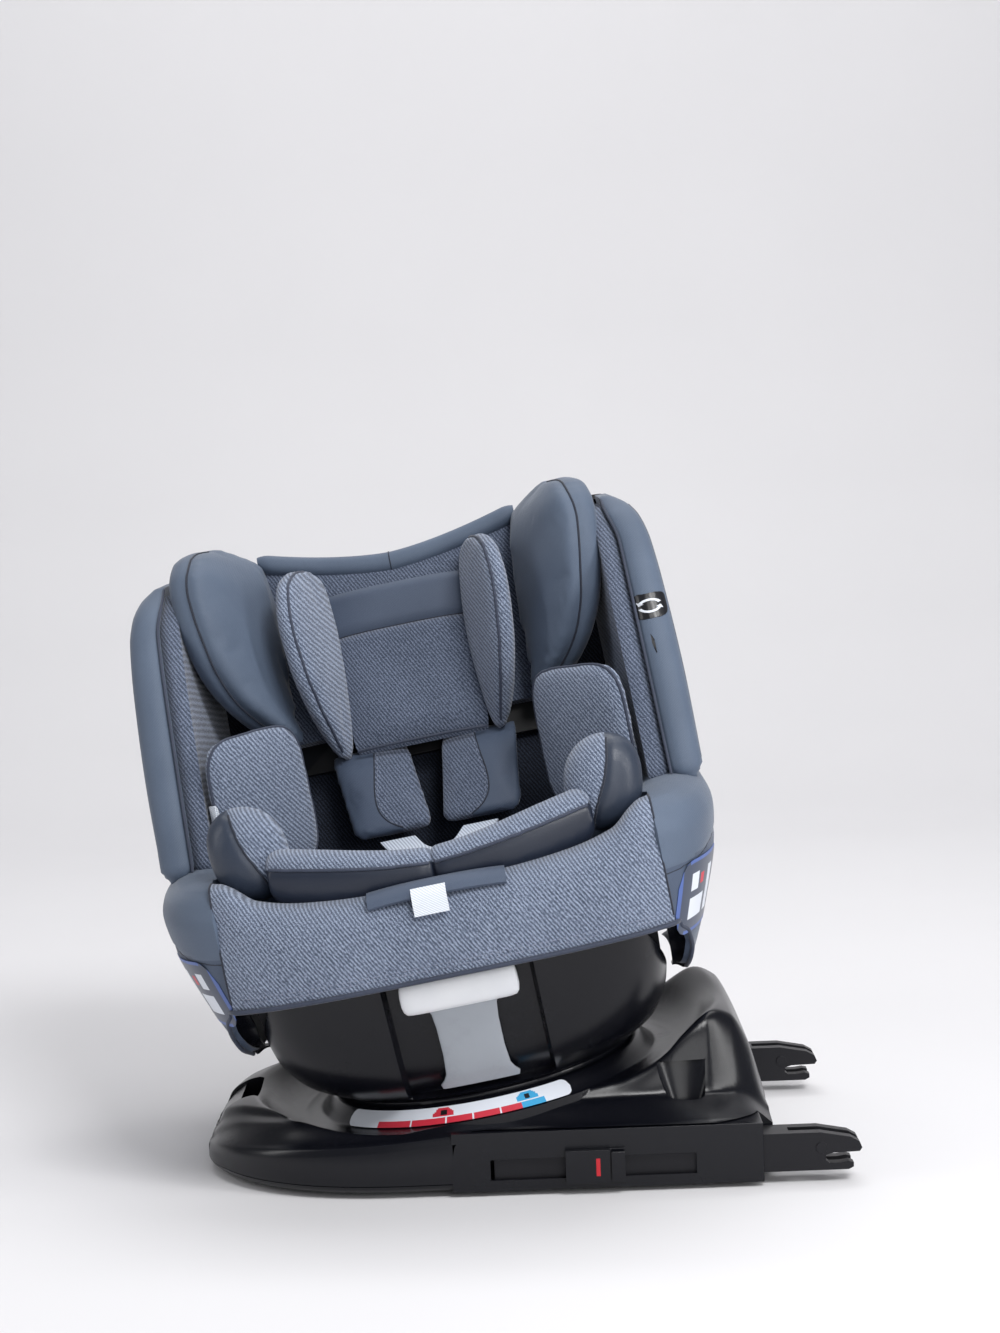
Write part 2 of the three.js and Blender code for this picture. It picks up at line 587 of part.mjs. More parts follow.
const rimCut = box([-101, 101], [-40, 20], [300, 400]);
const padWithRim = makeHeadrestPad().add(topRim.intersect(rimCut).subtract(box([-115, 115], [-5, 10],
  [200, 336.5])));
addPart(backrest, "headrest_pad", padWithRim, twillFabric);

// Head hugger: a pad, a smooth band above it, and two upright ears.
const shift = (x, y, z) => new THREE.Matrix4().makeTranslation(x, y, z);
const hugger = { low: 160, high: 312 };
const huggerPad = placed(cushion(62, 55, 9, 9), shift(0, -31, hugger.low + 56));
const huggerBand = placed(cushion(62, 24, 6, 8, 5), shift(0, -31, hugger.low + 130));
addPart(backrest, "hugger_pad", huggerPad.add(huggerBand), twillFabric);
const EAR = [[0, 0.12, 10], [12, 0.3, 20], [35, 0.6, 27], [70, 0.88, 31], [110, 1, 32],
  [140, 0.92, 30], [160, 0.66, 24],
  [170, 0.34, 14]];
function makeEar() {
  const ring = ([rise, reach, thick]) => {
    const root = new THREE.Vector3(69, -26, hugger.low + rise);
    const tip = new THREE.Vector3(69 + 30 * reach, -26 - 78 * reach, hugger.low + rise);
    return capsule(root, tip, thick * 0.9, 14);
  };
  return loft(EAR.map(ring));
}
const earRaw = makeEar().subtract(box([40, 63], [-200, 40], [0, 400])).subtract(box([0, 200],
  [-18.6, 60], [0, 400]));
const ear = earRaw.subtract(placed(bolster, shift(-1.5, 1, 0)));
addPart(backrest, "hugger_ear_left", ear, twillFabric);
addPart(backrest, "hugger_ear_right", mirrored(ear, "x"), twillFabric);

// ---------- harness ----------
function makeShoulderPad(side) {
  const ring = (z, x, y, half) =>
    oblong(half, 8.5, 3, 0, 14).map((p) => new THREE.Vector3(side * x + p.x, y + p.y, z));
  const rings = [ring(84, 38, -41, 30), ring(90, 39, -40, 34), ring(115, 42, -34, 34),
    ring(145, 46, -28, 34),
    ring(156, 48, -27, 32)];
  return loft(rings);
}
addPart(backrest, "shoulder_pad_left", makeShoulderPad(1), twillFabric);
addPart(backrest, "shoulder_pad_right", makeShoulderPad(-1), twillFabric);

function strap(points, width, thickness) {
  const ring = ([x, y, z, turn], i) => {
    const [, y0, z0] = points[Math.max(i - 1, 0)];
    const [, y1, z1] = points[Math.min(i + 1, points.length - 1)];
    const normal = new THREE.Vector3(0, -(z1 - z0), y1 - y0).setLength(thickness / 2);
    const wide = new THREE.Vector3(Math.cos(turn), 0, Math.sin(turn)).setLength(width / 2);
    const centre = new THREE.Vector3(x, y, z);
    return [[-1, -1], [1, -1], [1, 1], [-1, 1]].map(([a, b]) =>
      centre.clone().addScaledVector(wide, a).addScaledVector(normal, b));
  };
  return loft(points.map(ring));
}
const lowerStrap = (side) => strap([[side * 36, 24, 196, 0], [side * 28, -2, 190, 0],
  [side * 19, -26, 189, 0],
  [side * 17, -40, 188, 0]], 30, 2);
addPart(swivel, "shoulder_strap_left", lowerStrap(1), webbing);
addPart(swivel, "shoulder_strap_right", lowerStrap(-1), webbing);

const BUCKLE = { y: [-92, -52], z: [176, 192] };
const buckleBody = box([-26, 26], BUCKLE.y, BUCKLE.z).subtract(box([-15, 15], [-86, -64], [185.6, 200]));
addPart(swivel, "buckle_housing", buckleBody, blackPlastic);
addPart(swivel, "buckle_button", box([-14.4, 14.4], [-85.4, -64.6], [189.6, 193.4]), redPlastic);
addPart(swivel, "buckle_tongue", box([-31, 31], [-51.6, -41], [186.5, 189.5]), steel);
addPart(swivel, "crotch_strap", strap([[0, -92.6, 183, 0], [0, -104, 182, 0], [0, -112, 178, 0],
  [0, -114.5, 174, 0]], 34, 3), webbing);

addPart(swivel, "adjuster_flap", strap([[0, -178, 205, 0], [0, -196, 202, 0], [0, -205, 194, 0]],
  100, 4), smoothFabric);
addPart(swivel, "adjuster_button", box([-13, 13], [-176, -160.5], [190.5, 196]), steel);
addPart(swivel, "adjuster_strap", strap([[-6, -206.5, 191.4, 0], [-6, -211.5, 180, 0],
  [-6, -212, 172, 0]], 26, 2), webbing);

// ---------- cushions ----------
const padTop = [[-158, 162], [-120, 157], [-70, 150], [0, 140], [52, 138]];
const padBottom = [[52, 119], [0, 122], [-70, 131.5], [-120, 141], [-158, 149]];
addPart(swivel, "seat_pad", sidePlate([...padTop, ...padBottom], [-171, 171]), darkFabric);

const insertTop = [[-134, 173], [-70, 168], [0, 160], [30, 160]];
const insertOutline = [...insertTop, ...insertTop.map(([y, z]) => [y, z - 13]).reverse()];
addPart(swivel, "insert_seat_pad", sidePlate(insertOutline, [-128, 128]), twillFabric);

const turnZ = (angle) => new THREE.Matrix4().makeRotationZ(angle);
for (const [name, side] of [["left", 1], ["right", -1]]) {
  const front = placed(cushion(63, 21, 21, 20, 2.8), shift(side * 67, -166, 204));
  const knob = placed(cushion(31, 37, 24, 22, 2.4), shift(side * 143, -132, 231));
  const corner = [side * 75, side * 165].sort((a, b) => a - b);
  const clearOfSkirt = box([-300, 300], [-300, -150], [100, 191]).add(box(corner, [-300, -140],
    [100, 199]));
  addPart(swivel, `insert_front_${name}`, front.subtract(clearOfSkirt).subtract(placed(knob,
    shift(side * -0.6, -0.5, 0)))
    .subtract(box([-58, 58], [-214, -158], [180, 208])), smoothFabric);
  addPart(swivel, `insert_corner_${name}`, knob, smoothFabric);
  const splay = turnZ(side * -0.72);
  const torso = placed(placed(cushion(48, 58, 13, 13, 3.4), splay), shift(side * 138, -10, 254));
  addPart(swivel, `torso_pad_${name}`, torso, twillFabric);
}

export default seatAssembly;
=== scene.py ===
"""Convertible car seat: a padded bucket seat that turns and reclines on a low base.

Shapes are written in millimetres in three frames: BASE is the row frame, SWIVEL is the
turntable's own frame (its Z is the swivel axis), and BACK lies on the backrest's surface.
The seat faces -Y in all of them.
"""
import math

import bmesh
import bpy
import numpy as np
from mathutils import Matrix, Vector
from mathutils.bvhtree import BVHTree


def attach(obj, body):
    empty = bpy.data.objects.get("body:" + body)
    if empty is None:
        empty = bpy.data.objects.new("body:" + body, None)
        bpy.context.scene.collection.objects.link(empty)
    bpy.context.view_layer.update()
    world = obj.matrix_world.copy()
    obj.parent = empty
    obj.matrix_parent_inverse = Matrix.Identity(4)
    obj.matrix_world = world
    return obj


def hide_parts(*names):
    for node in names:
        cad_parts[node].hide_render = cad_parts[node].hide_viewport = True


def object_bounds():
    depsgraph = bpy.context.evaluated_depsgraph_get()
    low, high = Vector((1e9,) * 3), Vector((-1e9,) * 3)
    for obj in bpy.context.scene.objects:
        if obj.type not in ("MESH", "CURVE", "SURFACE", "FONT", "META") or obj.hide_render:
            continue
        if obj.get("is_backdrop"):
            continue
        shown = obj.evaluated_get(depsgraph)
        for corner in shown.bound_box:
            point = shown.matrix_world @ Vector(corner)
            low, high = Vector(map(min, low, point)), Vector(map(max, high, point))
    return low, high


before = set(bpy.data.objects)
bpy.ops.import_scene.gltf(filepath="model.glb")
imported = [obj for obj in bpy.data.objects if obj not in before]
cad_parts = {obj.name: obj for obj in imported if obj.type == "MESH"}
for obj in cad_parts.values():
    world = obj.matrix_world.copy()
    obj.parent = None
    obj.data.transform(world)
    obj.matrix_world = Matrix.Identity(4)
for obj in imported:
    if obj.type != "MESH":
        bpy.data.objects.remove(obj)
cad_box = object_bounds()

TILT, LEAN = math.radians(9.5), math.radians(22)
BASE = Matrix.Scale(0.001, 4)
SWIVEL = Matrix.Translation((0, 0, 0.07)) @ Matrix.Rotation(-TILT, 4, "Y") @ BASE
BACK = SWIVEL @ Matrix.Translation((0, 45, 105)) @ Matrix.Rotation(-LEAN, 4, "X")
MIRROR = Matrix.Scale(-1, 4, (1, 0, 0))
EYE = Vector((0.025, -2.1, 0.589))


# ---------- camera, light and stage ----------
def make_camera():
    data = bpy.data.cameras.new("camera")
    data.lens, data.sensor_width = 68.27, 36
    camera = bpy.data.objects.new("camera", data)
    bpy.context.collection.objects.link(camera)
    ahead = Vector((-0.000224, 0.996096, -0.088280))
    right = Vector((0.999266, -0.003159, -0.038183)).normalized()
    up = right.cross(ahead)
    pose = Matrix((right, up, -ahead)).transposed().to_4x4()
    pose.translation = EYE
    camera.matrix_world = pose
    bpy.context.scene.camera = camera


def area_light(name, at, target, size, power, color=(1, 1, 1)):
    data = bpy.data.lights.new(name, "AREA")
    data.shape, data.size, data.size_y = "RECTANGLE", size[0], size[1]
    data.energy, data.color = power, color
    light = bpy.data.objects.new(name, data)
    bpy.context.collection.objects.link(light)
    light.location = at
    light.rotation_euler = (Vector(target) - Vector(at)).to_track_quat("-Z", "Y").to_euler()


# ---------- materials ----------
def rgb(r, g, b):
    lin = [c / 255 / 12.92 if c <= 10 else ((c / 255 + 0.055) / 1.055) ** 2.4 for c in (r, g, b)]
    return (*lin, 1)


class Shader:
    """A Principled material with short calls for the nodes that feed it."""

    def __init__(self, name, **sockets):
        self.mat = bpy.data.materials.new(name)
        self.mat.use_nodes = True
        self.tree = self.mat.node_tree
        self.bsdf = self.tree.nodes["Principled BSDF"]
        for key, value in sockets.items():
            self.bsdf.inputs[key.replace("_", " ")].default_value = value
        self.coords = self.tree.nodes.new("ShaderNodeTexCoord").outputs["Object"]

    def link(self, value, socket):
        if isinstance(value, bpy.types.NodeSocket):
            self.tree.links.new(value, socket)
        else:
            socket.default_value = value

    def node(self, kind, out=0, props=None, **inputs):
        n = self.tree.nodes.new("ShaderNode" + kind)
        for key, value in (props or {}).items():
            setattr(n, key, value)
        for key, value in inputs.items():
            self.link(value, n.inputs[int(key[1:])] if key[0] == "i" and key[1:].isdigit() else n.inputs[key])
        return n.outputs[out]

    def math(self, op, a, b=0.0):
        return self.node("Math", props={"operation": op}, i0=a, i1=b)

    def noise(self, scale, detail=2.0, rough=0.5, at=None):
        return self.node("TexNoise", Vector=at or self.coords, Scale=scale, Detail=detail, Roughness=rough)

    def turned(self, rotation, scale=(1, 1, 1), at=None):
        return self.node("Mapping", Vector=at or self.coords, Rotation=rotation, Scale=scale)

    def wave(self, period, at, distort=0.0):
        """Even ridges with a period in metres across the mapped X axis."""
        return self.node("TexWave", out=1, props={"wave_type": "BANDS", "bands_direction": "X"}, Vector=at,
                         Scale=0.314 / period, Distortion=distort, Detail=1.0)

    def ramp(self, fac, *stops):
        n = self.tree.nodes.new("ShaderNodeValToRGB")
        while len(n.color_ramp.elements) < len(stops):
            n.color_ramp.elements.new(0.5)
        for element, (at, color) in zip(n.color_ramp.elements, stops):
            element.position, element.color = at, color
        self.tree.links.new(fac, n.inputs[0])
        return n.outputs[0]

    def mix(self, fac, a, b, blend="MIX"):
        n = self.tree.nodes.new("ShaderNodeMix")
        n.data_type, n.blend_type = "RGBA", blend
        self.link(fac, n.inputs[0])
        self.link(a, n.inputs[6])
        self.link(b, n.inputs[7])
        return n.outputs[2]

    def bump(self, height, distance, strength=1.0):
        out = self.node("Bump", Height=height, Distance=distance, Strength=strength)
        self.tree.links.new(out, self.bsdf.inputs["Normal"])

    def color(self, value):
        self.link(value, self.bsdf.inputs["Base Color"])

    def rough(self, value, low, high):
        out = self.node("MapRange", Value=value, i3=low, i4=high)
        self.tree.links.new(out, self.bsdf.inputs["Roughness"])


def twill(name, dark, mid, light, period=0.0026, sheen=0.25):
    """Melange twill: diagonal ribs broken by flecks of lighter and darker yarn."""
    s = Shader(name, Roughness=0.88, Sheen_Weight=sheen, Sheen_Roughness=0.5, Specular_IOR_Level=0.25)
    lean = s.turned((0, 0.70, 0))
    threads = s.noise(1900, 1, 0.6, s.turned((0, 0, 0), (1, 1, 0.22), lean))
    ribs = s.wave(period, lean, 1.4)
    flecks = s.noise(1300, 2, 0.7)
    patches = s.noise(14, 2)
    tone = s.math("ADD", s.math("MULTIPLY", threads, 0.85), s.math("MULTIPLY", flecks, 0.45))
    tone = s.math("ADD", tone, s.math("MULTIPLY", ribs, 0.26))
    tone = s.math("ADD", tone, s.math("MULTIPLY", patches, 0.10))
    s.color(s.ramp(tone, (0.58, dark), (0.82, mid), (1.0, light)))
    s.bump(s.math("ADD", s.math("MULTIPLY", ribs, 0.5), s.math("ADD", threads, s.math("MULTIPLY", flecks, 0.5))), 0.0005, 0.8)
    return s.mat


def knit(name, dark, light, rough=0.62, sheen=0.2):
    """Close smooth knit with a slight sheen."""
    s = Shader(name, Roughness=rough, Sheen_Weight=sheen, Sheen_Roughness=0.35, Specular_IOR_Level=0.4)
    loops = s.wave(0.0011, s.turned((0.3, 0.5, 0.2)), 1.2)
    grain = s.noise(1600, 2, 0.6)
    cloud = s.noise(14, 3)
    tone = s.math("ADD", s.math("MULTIPLY", grain, 0.5), s.math("MULTIPLY", cloud, 0.5))
    s.color(s.ramp(tone, (0.30, dark), (0.70, light)))
    s.rough(grain, rough - 0.08, rough + 0.08)
    s.bump(s.math("ADD", s.math("MULTIPLY", loops, 0.5), grain), 0.00022, 0.5)
    return s.mat


def moulded(name, base, low, high, grain=0.00006, coat=0.0):
    """Fine-textured moulded plastic with a little wear in its gloss."""
    s = Shader(name, Specular_IOR_Level=0.34, Coat_Weight=coat, Coat_Roughness=0.15)
    spark = s.noise(2600, 2, 0.7)
    cloud = s.noise(22, 4, 0.6)
    s.color(s.mix(s.math("MULTIPLY", cloud, 0.5), base, tuple(min(1, c * 1.4 + 0.0006) for c in base[:3]) + (1,)))
    s.rough(s.math("ADD", s.math("MULTIPLY", cloud, 0.7), s.math("MULTIPLY", spark, 0.3)), low, high)
    s.bump(spark, grain, 0.6)
    return s.mat


def metal(name, base, low, high, metallic=1.0):
    s = Shader(name, Metallic=metallic)
    scratches = s.noise(240, 4, 0.7, s.turned((0, 0, 0), (1, 14, 14)))
    s.color(s.mix(scratches, base, tuple(c * 0.75 for c in base[:3]) + (1,)))
    s.rough(scratches, low, high)
    s.bump(scratches, 0.00003, 0.4)
    return s.mat


def web(name, dark, light):
    """Polyester strap: fine ribs across its width."""
    s = Shader(name, Roughness=0.7, Sheen_Weight=0.2, Specular_IOR_Level=0.35)
    ribs = s.wave(0.0016, s.turned((0, 1.1, 0)), 0.3)
    yarn = s.noise(1800, 2)
    s.color(s.ramp(s.math("ADD", s.math("MULTIPLY", ribs, 0.5), s.math("MULTIPLY", yarn, 0.5)), (0.3, dark), (0.7, light)))
    s.bump(ribs, 0.0003, 0.6)
    return s.mat


def hide(name, base, light):
    """Soft coated fabric with a fine pebbled grain."""
    s = Shader(name, Specular_IOR_Level=0.5)
    grain = s.node("TexVoronoi", out=0, Vector=s.coords, Scale=900.0)
    cloud = s.noise(18, 3)
    s.color(s.mix(cloud, base, light))
    s.rough(grain, 0.34, 0.5)
    s.bump(grain, 0.00018, 0.35)
    return s.mat


def film(name, color, rough=0.4):
    s = Shader(name, Specular_IOR_Level=0.5)
    cloud = s.noise(60, 2)
    s.color(s.mix(s.math("MULTIPLY", cloud, 0.12), color, tuple(c * 0.8 for c in color[:3]) + (1,)))
    s.rough(cloud, rough - 0.05, rough + 0.08)
    s.bump(s.noise(300, 2), 0.00004, 0.3)
    return s.mat


TWILL = twill("twill", rgb(56, 65, 82), rgb(92, 102, 121), rgb(150, 161, 182))
TWILL_DEEP = twill("twill_deep", rgb(46, 54, 70), rgb(74, 83, 101), rgb(118, 128, 149))
KNIT = knit("knit", rgb(72, 84, 102), rgb(90, 103, 122))
KNIT_DEEP = knit("knit_deep", rgb(40, 46, 60), rgb(56, 63, 79))
PANEL = knit("knit_panel", rgb(60, 71, 90), rgb(76, 88, 108))
# Darker copy of the smooth knit for the headrest band: painted shade
BAND = knit("knit_band_painted_shade", rgb(62, 72, 90), rgb(78, 89, 108), 0.66)
LINING = twill("lining", rgb(12, 15, 23), rgb(24, 29, 40), rgb(48, 55, 70), sheen=0.05)
HIDE = hide("hide", rgb(20, 27, 42), rgb(30, 38, 54))
HIDE_SOFT = hide("hide_soft", rgb(37, 45, 59), rgb(50, 59, 75))
BINDING = knit("binding", rgb(44, 50, 66), rgb(62, 69, 86), 0.7)
THREAD = knit("thread", rgb(96, 104, 122), rgb(140, 149, 168), 0.6)
DARK_THREAD = knit("dark_thread", rgb(30, 34, 46), rgb(44, 49, 62), 0.7)
WEB = web("webbing", rgb(150, 159, 176), rgb(206, 214, 226))
BLACK = moulded("black_plastic", rgb(11, 12, 18), 0.20, 0.32, 0.00003)
BLACK_DEEP = moulded("black_plastic_deep", rgb(7, 8, 12), 0.34, 0.48)
GREY = moulded("grey_plastic", rgb(220, 223, 228), 0.24, 0.38, 0.00003)
# Darker copy of the grip's grey plastic for the stem: painted shade for the skirt's shadow over it
STEM_PAINTED_SHADE = moulded("grey_plastic_painted_shade", rgb(150, 155, 162), 0.22, 0.34, 0.00003)
RED = moulded("red_plastic", rgb(178, 34, 44), 0.3, 0.4, 0.00003)
STEEL = metal("steel", rgb(190, 192, 196), 0.22, 0.4)
BLACK_STEEL = metal("black_steel", rgb(34, 34, 38), 0.32, 0.48, 0.6)
RUBBER = moulded("rubber", rgb(22, 22, 23), 0.75, 0.9, 0.00015)
WHITE_FILM = film("white_film", rgb(214, 219, 228))
RED_FILM = film("red_film", rgb(196, 44, 62))
BLUE_FILM = film("blue_film", rgb(52, 158, 208))
EDGE_FILM = film("edge_film", rgb(74, 98, 160))
DARK_FILM = film("dark_film", rgb(18, 19, 24), 0.3)
PANEL_FILM = film("panel_film", rgb(58, 67, 86), 0.3)
TAG = web("tag", rgb(196, 203, 214), rgb(226, 231, 238))


# ---------- curves ----------
def slopes_of(secant):
    """Slopes at the inner knots of a curve that never overshoots its points."""
    a, b = secant[..., :-1], secant[..., 1:]
    inner = np.where(a * b > 0, 2 * a * b / np.where(a + b == 0, 1, a + b), 0)
    return np.concatenate([secant[..., :1], inner, secant[..., -1:]], -1)


def blend_rows(xs, ys, x):
    """Smooth value at each x along its own row of knots."""
    step = np.diff(xs, axis=-1)
    slope = slopes_of(np.diff(ys, axis=-1) / step)
    k = (x[..., None] >= xs[..., 1:-1]).sum(-1)[..., None]
    pick = lambda a, i: np.take_along_axis(a, i, -1)[..., 0]
    h = pick(step, k)
    t = np.clip((x - pick(xs, k)) / h, 0, 1)
    a, b, m, n = pick(ys, k), pick(ys, k + 1), pick(slope, k) * h, pick(slope, k + 1) * h
    return (2 * t**3 - 3 * t**2 + 1) * a + (t**3 - 2 * t**2 + t) * m + (3 * t**2 - 2 * t**3) * b + (t**3 - t**2) * n


def curve(*points):
    """A smooth function through (x, y) points, flat beyond its ends."""
    keys, values = np.array(points, float).T

    def at(x):
        x = np.asarray(x, float)
        return blend_rows(np.broadcast_to(keys, x.shape + keys.shape), np.broadcast_to(values, x.shape + keys.shape), x)

    return at


def smooth(points, count, closed=False):
    """Evenly spaced points on a smooth curve through the given ones."""
    p = np.array(points, float)
    if closed:
        p = np.vstack([p[-1], p, p[0], p[1]])
    else:
        p = np.vstack([2 * p[0] - p[1], p, 2 * p[-1] - p[-2]])
    fine = []
    for i in range(1, len(p) - 2):
        for t in np.arange(0, 1, 0.05):
            a, b, c, d = p[i - 1 : i + 3]
            fine.append(0.5 * (2 * b + (c - a) * t + (2 * a - 5 * b + 4 * c - d) * t**2 + (3 * b - a - 3 * c + d) * t**3))
    fine.append(p[-2])
    fine = np.array(fine)
    run = np.concatenate([[0], np.cumsum(np.linalg.norm(np.diff(fine, axis=0), axis=1))])
    at = np.linspace(0, run[-1], count, endpoint=not closed)
    return np.stack([np.interp(at, run, fine[:, k]) for k in range(fine.shape[1])], axis=1)


def ease(low, high, x):
    t = min(max((x - low) / (high - low), 0.0), 1.0)
    return t * t * (3 - 2 * t)


def oblong(a, b, power, count):
    t = (np.arange(count) + 0.5) / count * 2 * np.pi
    c, s = np.cos(t), np.sin(t)
    return np.stack([a * np.sign(c) * abs(c) ** (2 / power), b * np.sign(s) * abs(s) ** (2 / power)], axis=1)


# ---------- meshes ----------
def finish_object(name, mesh, material, body, sharp=40):
    for poly in mesh.polygons:
        poly.use_smooth = True
    mesh.set_sharp_from_angle(angle=math.radians(sharp))
    obj = bpy.data.objects.new(name, mesh)
    bpy.context.collection.objects.link(obj)
    for m in material if isinstance(material, (list, tuple)) else [material]:
        obj.data.materials.append(m)
    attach(obj, body)
    return obj


def add_mesh(name, verts, faces, matrix, material, body, sharp=40):
    mesh = bpy.data.meshes.new(name)
    mesh.from_pydata([matrix @ Vector(v) for v in verts], [], faces)
    bm = bmesh.new()
    bm.from_mesh(mesh)
    bmesh.ops.remove_doubles(bm, verts=bm.verts, dist=1e-6)
    bmesh.ops.recalc_face_normals(bm, faces=bm.faces)
    bm.to_mesh(mesh)
    bm.free()
    return finish_object(name, mesh, material, body, sharp)


def grid_faces(rows, cols, wrap):
    faces = []
    for r in range(rows - 1):
        for c in range(cols if wrap else cols - 1):
            d = (c + 1) % cols
            faces.append((r * cols + c, r * cols + d, (r + 1) * cols + d, (r + 1) * cols + c))
    return faces


def loft(name, rings, matrix, material, body, sharp=40):
    """A closed solid through equal rings, its ends capped by fans."""
    rings = [np.asarray(r, float) for r in rings]
    rows, cols = len(rings), len(rings[0])
    verts = [tuple(p) for r in rings for p in r]
    faces = grid_faces(rows, cols, True)
    for start, flip in ((0, True), ((rows - 1) * cols, False)):
        verts.append(tuple(rings[0 if flip else -1].mean(axis=0)))
        hub = len(verts) - 1
        for c in range(cols):
            pair = (start + c, start + (c + 1) % cols)
            faces.append((*(pair[::-1] if flip else pair), hub))
    return add_mesh(name, verts, faces, matrix, material, body, sharp)


def slab(name, grid, thickness, inside, matrix, material, body, sharp=45):
    """A closed sheet: a grid of points with a thickness in millimetres towards the inside point."""
    grid = np.asarray(grid, float)
    rows, cols = grid.shape[:2]
    normal = np.cross(np.gradient(grid, axis=0), np.gradient(grid, axis=1))
    normal /= np.maximum(np.linalg.norm(normal, axis=2, keepdims=True), 1e-9)
    middle = grid[rows // 2, cols // 2]
    if np.dot(normal[rows // 2, cols // 2], np.array(inside) - middle) < 0:
        normal = -normal
    back = grid + normal * thickness
    verts = np.vstack([grid.reshape(-1, 3), back.reshape(-1, 3)]).tolist()
    n = rows * cols
    faces = grid_faces(rows, cols, False)
    faces += [tuple(n + i for i in f[::-1]) for f in faces]
    edge = [c for c in range(cols)] + [r * cols + cols - 1 for r in range(1, rows)]
    edge += [(rows - 1) * cols + c for c in range(cols - 2, -1, -1)] + [r * cols for r in range(rows - 2, 0, -1)]
    faces += [(edge[i], edge[(i + 1) % len(edge)], n + edge[(i + 1) % len(edge)], n + edge[i]) for i in range(len(edge))]
    return add_mesh(name, verts, faces, matrix, material, body, sharp)


def bake(obj):
    """Applies the object's modifiers."""
    graph = bpy.context.evaluated_depsgraph_get()
    graph.update()
    mesh = bpy.data.meshes.new_from_object(obj.evaluated_get(graph))
    obj.modifiers.clear()
    obj.data = mesh
    for poly in mesh.polygons:
        poly.use_smooth = True
    return obj


def refine(obj, levels=1):
    sub = obj.modifiers.new("fine", "SUBSURF")
    sub.levels = sub.render_levels = levels
    return bake(obj)


def bevel(obj, width, segments=2, angle=30):
    weld = obj.modifiers.new("weld", "WELD")
    weld.merge_threshold = 1e-6
    cut = obj.modifiers.new("bevel", "BEVEL")
    cut.width, cut.segments, cut.angle_limit = width * 0.001, segments, math.radians(angle)
    cut.harden_normals = False
    return obj


def paint(obj, matrix, chooser):
    """Gives each face the material index that chooser picks from its middle, in the frame's millimetres."""
    back = matrix.inverted()
    for poly in obj.data.polygons:
        poly.material_index = chooser(back @ poly.center)


def tree_of(*objs):
    verts, faces = [], []
    for obj in objs:
        offset = len(verts)
        verts += [obj.matrix_world @ v.co for v in obj.data.vertices]
        faces += [[offset + i for i in p.vertices] for p in obj.data.polygons]
    return BVHTree.FromPolygons(verts, faces)


def tube(name, path, radius, material, body, closed=False, sides=8, lift=0.0, surface=None):
    """A round bead along world points, evened out and laid on a surface if one is given."""
    step = max(12, int(sum((Vector(b) - Vector(a)).length for a, b in zip(path, path[1:])) / 0.0035))
    pts = [Vector(p) for p in smooth([tuple(p) for p in path], step, closed)]
    normals = None
    if surface:
        tree = tree_of(surface)
        hits = [tree.find_nearest(p) for p in pts]
        pts = [h[0] + h[1] * lift * 0.001 for h in hits]
    rings = []
    side = Vector((0, 0, 1))
    for i, p in enumerate(pts):
        ahead = pts[(i + 1) % len(pts)] if closed or i + 1 < len(pts) else p
        behind = pts[i - 1] if closed or i else p
        run = (ahead - behind).normalized()
        side = (side - run * side.dot(run)).normalized()
        up = run.cross(side)
        ring = [p + (side * math.cos(t) + up * math.sin(t)) * radius * 0.001 for t in np.arange(sides) / sides * 2 * math.pi]
        rings.append([tuple(q) for q in ring])
    if closed:
        rings.append(rings[0])
        verts = [v for r in rings for v in r]
        return add_mesh(name, verts, grid_faces(len(rings), sides, True), Matrix(), material, body, 80)
    return loft(name, rings, Matrix(), material, body, 80)


def stitches(name, path, surface, material, body, length=3.2, gap=1.6, radius=0.45, lift=0.2):
    """A row of thread stitches along a path on a surface."""
    pts = [Vector(p) for p in smooth([tuple(p) for p in path], 400)]
    tree = tree_of(surface)
    hits = [tree.find_nearest(p) for p in pts]
    pts = [h[0] + h[1] * lift * 0.001 for h in hits]
    run = np.concatenate([[0], np.cumsum([(b - a).length * 1000 for a, b in zip(pts, pts[1:])])])
    line = np.array([tuple(p) for p in pts])
    at = lambda d: Vector([np.interp(d, run, line[:, k]) for k in range(3)])
    verts, faces = [], []
    d = 0.0
    while d + length < run[-1]:
        a, b = at(d), at(d + length)
        along = (b - a).normalized()
        side = along.orthogonal().normalized()
        up = along.cross(side)
        base = len(verts)
        for centre, r in ((a, 0.35), (a.lerp(b, 0.2), 1), (a.lerp(b, 0.8), 1), (b, 0.35)):
            for t in range(5):
                w = t / 5 * 2 * math.pi
                verts.append(tuple(centre + (side * math.cos(w) + up * math.sin(w)) * radius * r * 0.001))
        faces += [tuple(base + i for i in f) for f in grid_faces(4, 5, True)]
        faces += [tuple(base + i for i in (4, 3, 2, 1, 0)), tuple(base + i for i in (15, 16, 17, 18, 19))]
        d += length + gap
    return add_mesh(name, verts, faces, Matrix(), material, body, 80)


def groove(obj, path, width, depth):
    """Pulls obj's surface in along a world path, as a sewn seam does."""
    pts = np.array([tuple(p) for p in smooth([tuple(p) for p in path], max(20, len(path) * 12))])
    mesh = obj.data
    co = np.zeros(len(mesh.vertices) * 3)
    mesh.vertices.foreach_get("co", co)
    co = co.reshape(-1, 3)
    normals = np.zeros(len(mesh.vertices) * 3)
    mesh.vertices.foreach_get("normal", normals)
    normals = normals.reshape(-1, 3)
    near = np.full(len(co), 1e9)
    for chunk in range(0, len(pts), 16):
        gap = np.linalg.norm(co[:, None] - pts[None, chunk : chunk + 16], axis=2).min(axis=1)
        near = np.minimum(near, gap)
    pull = depth * 0.001 * np.exp(-((near / (width * 0.001)) ** 2))
    mesh.vertices.foreach_set("co", (co - normals * pull[:, None]).ravel())
    mesh.update()
    return obj


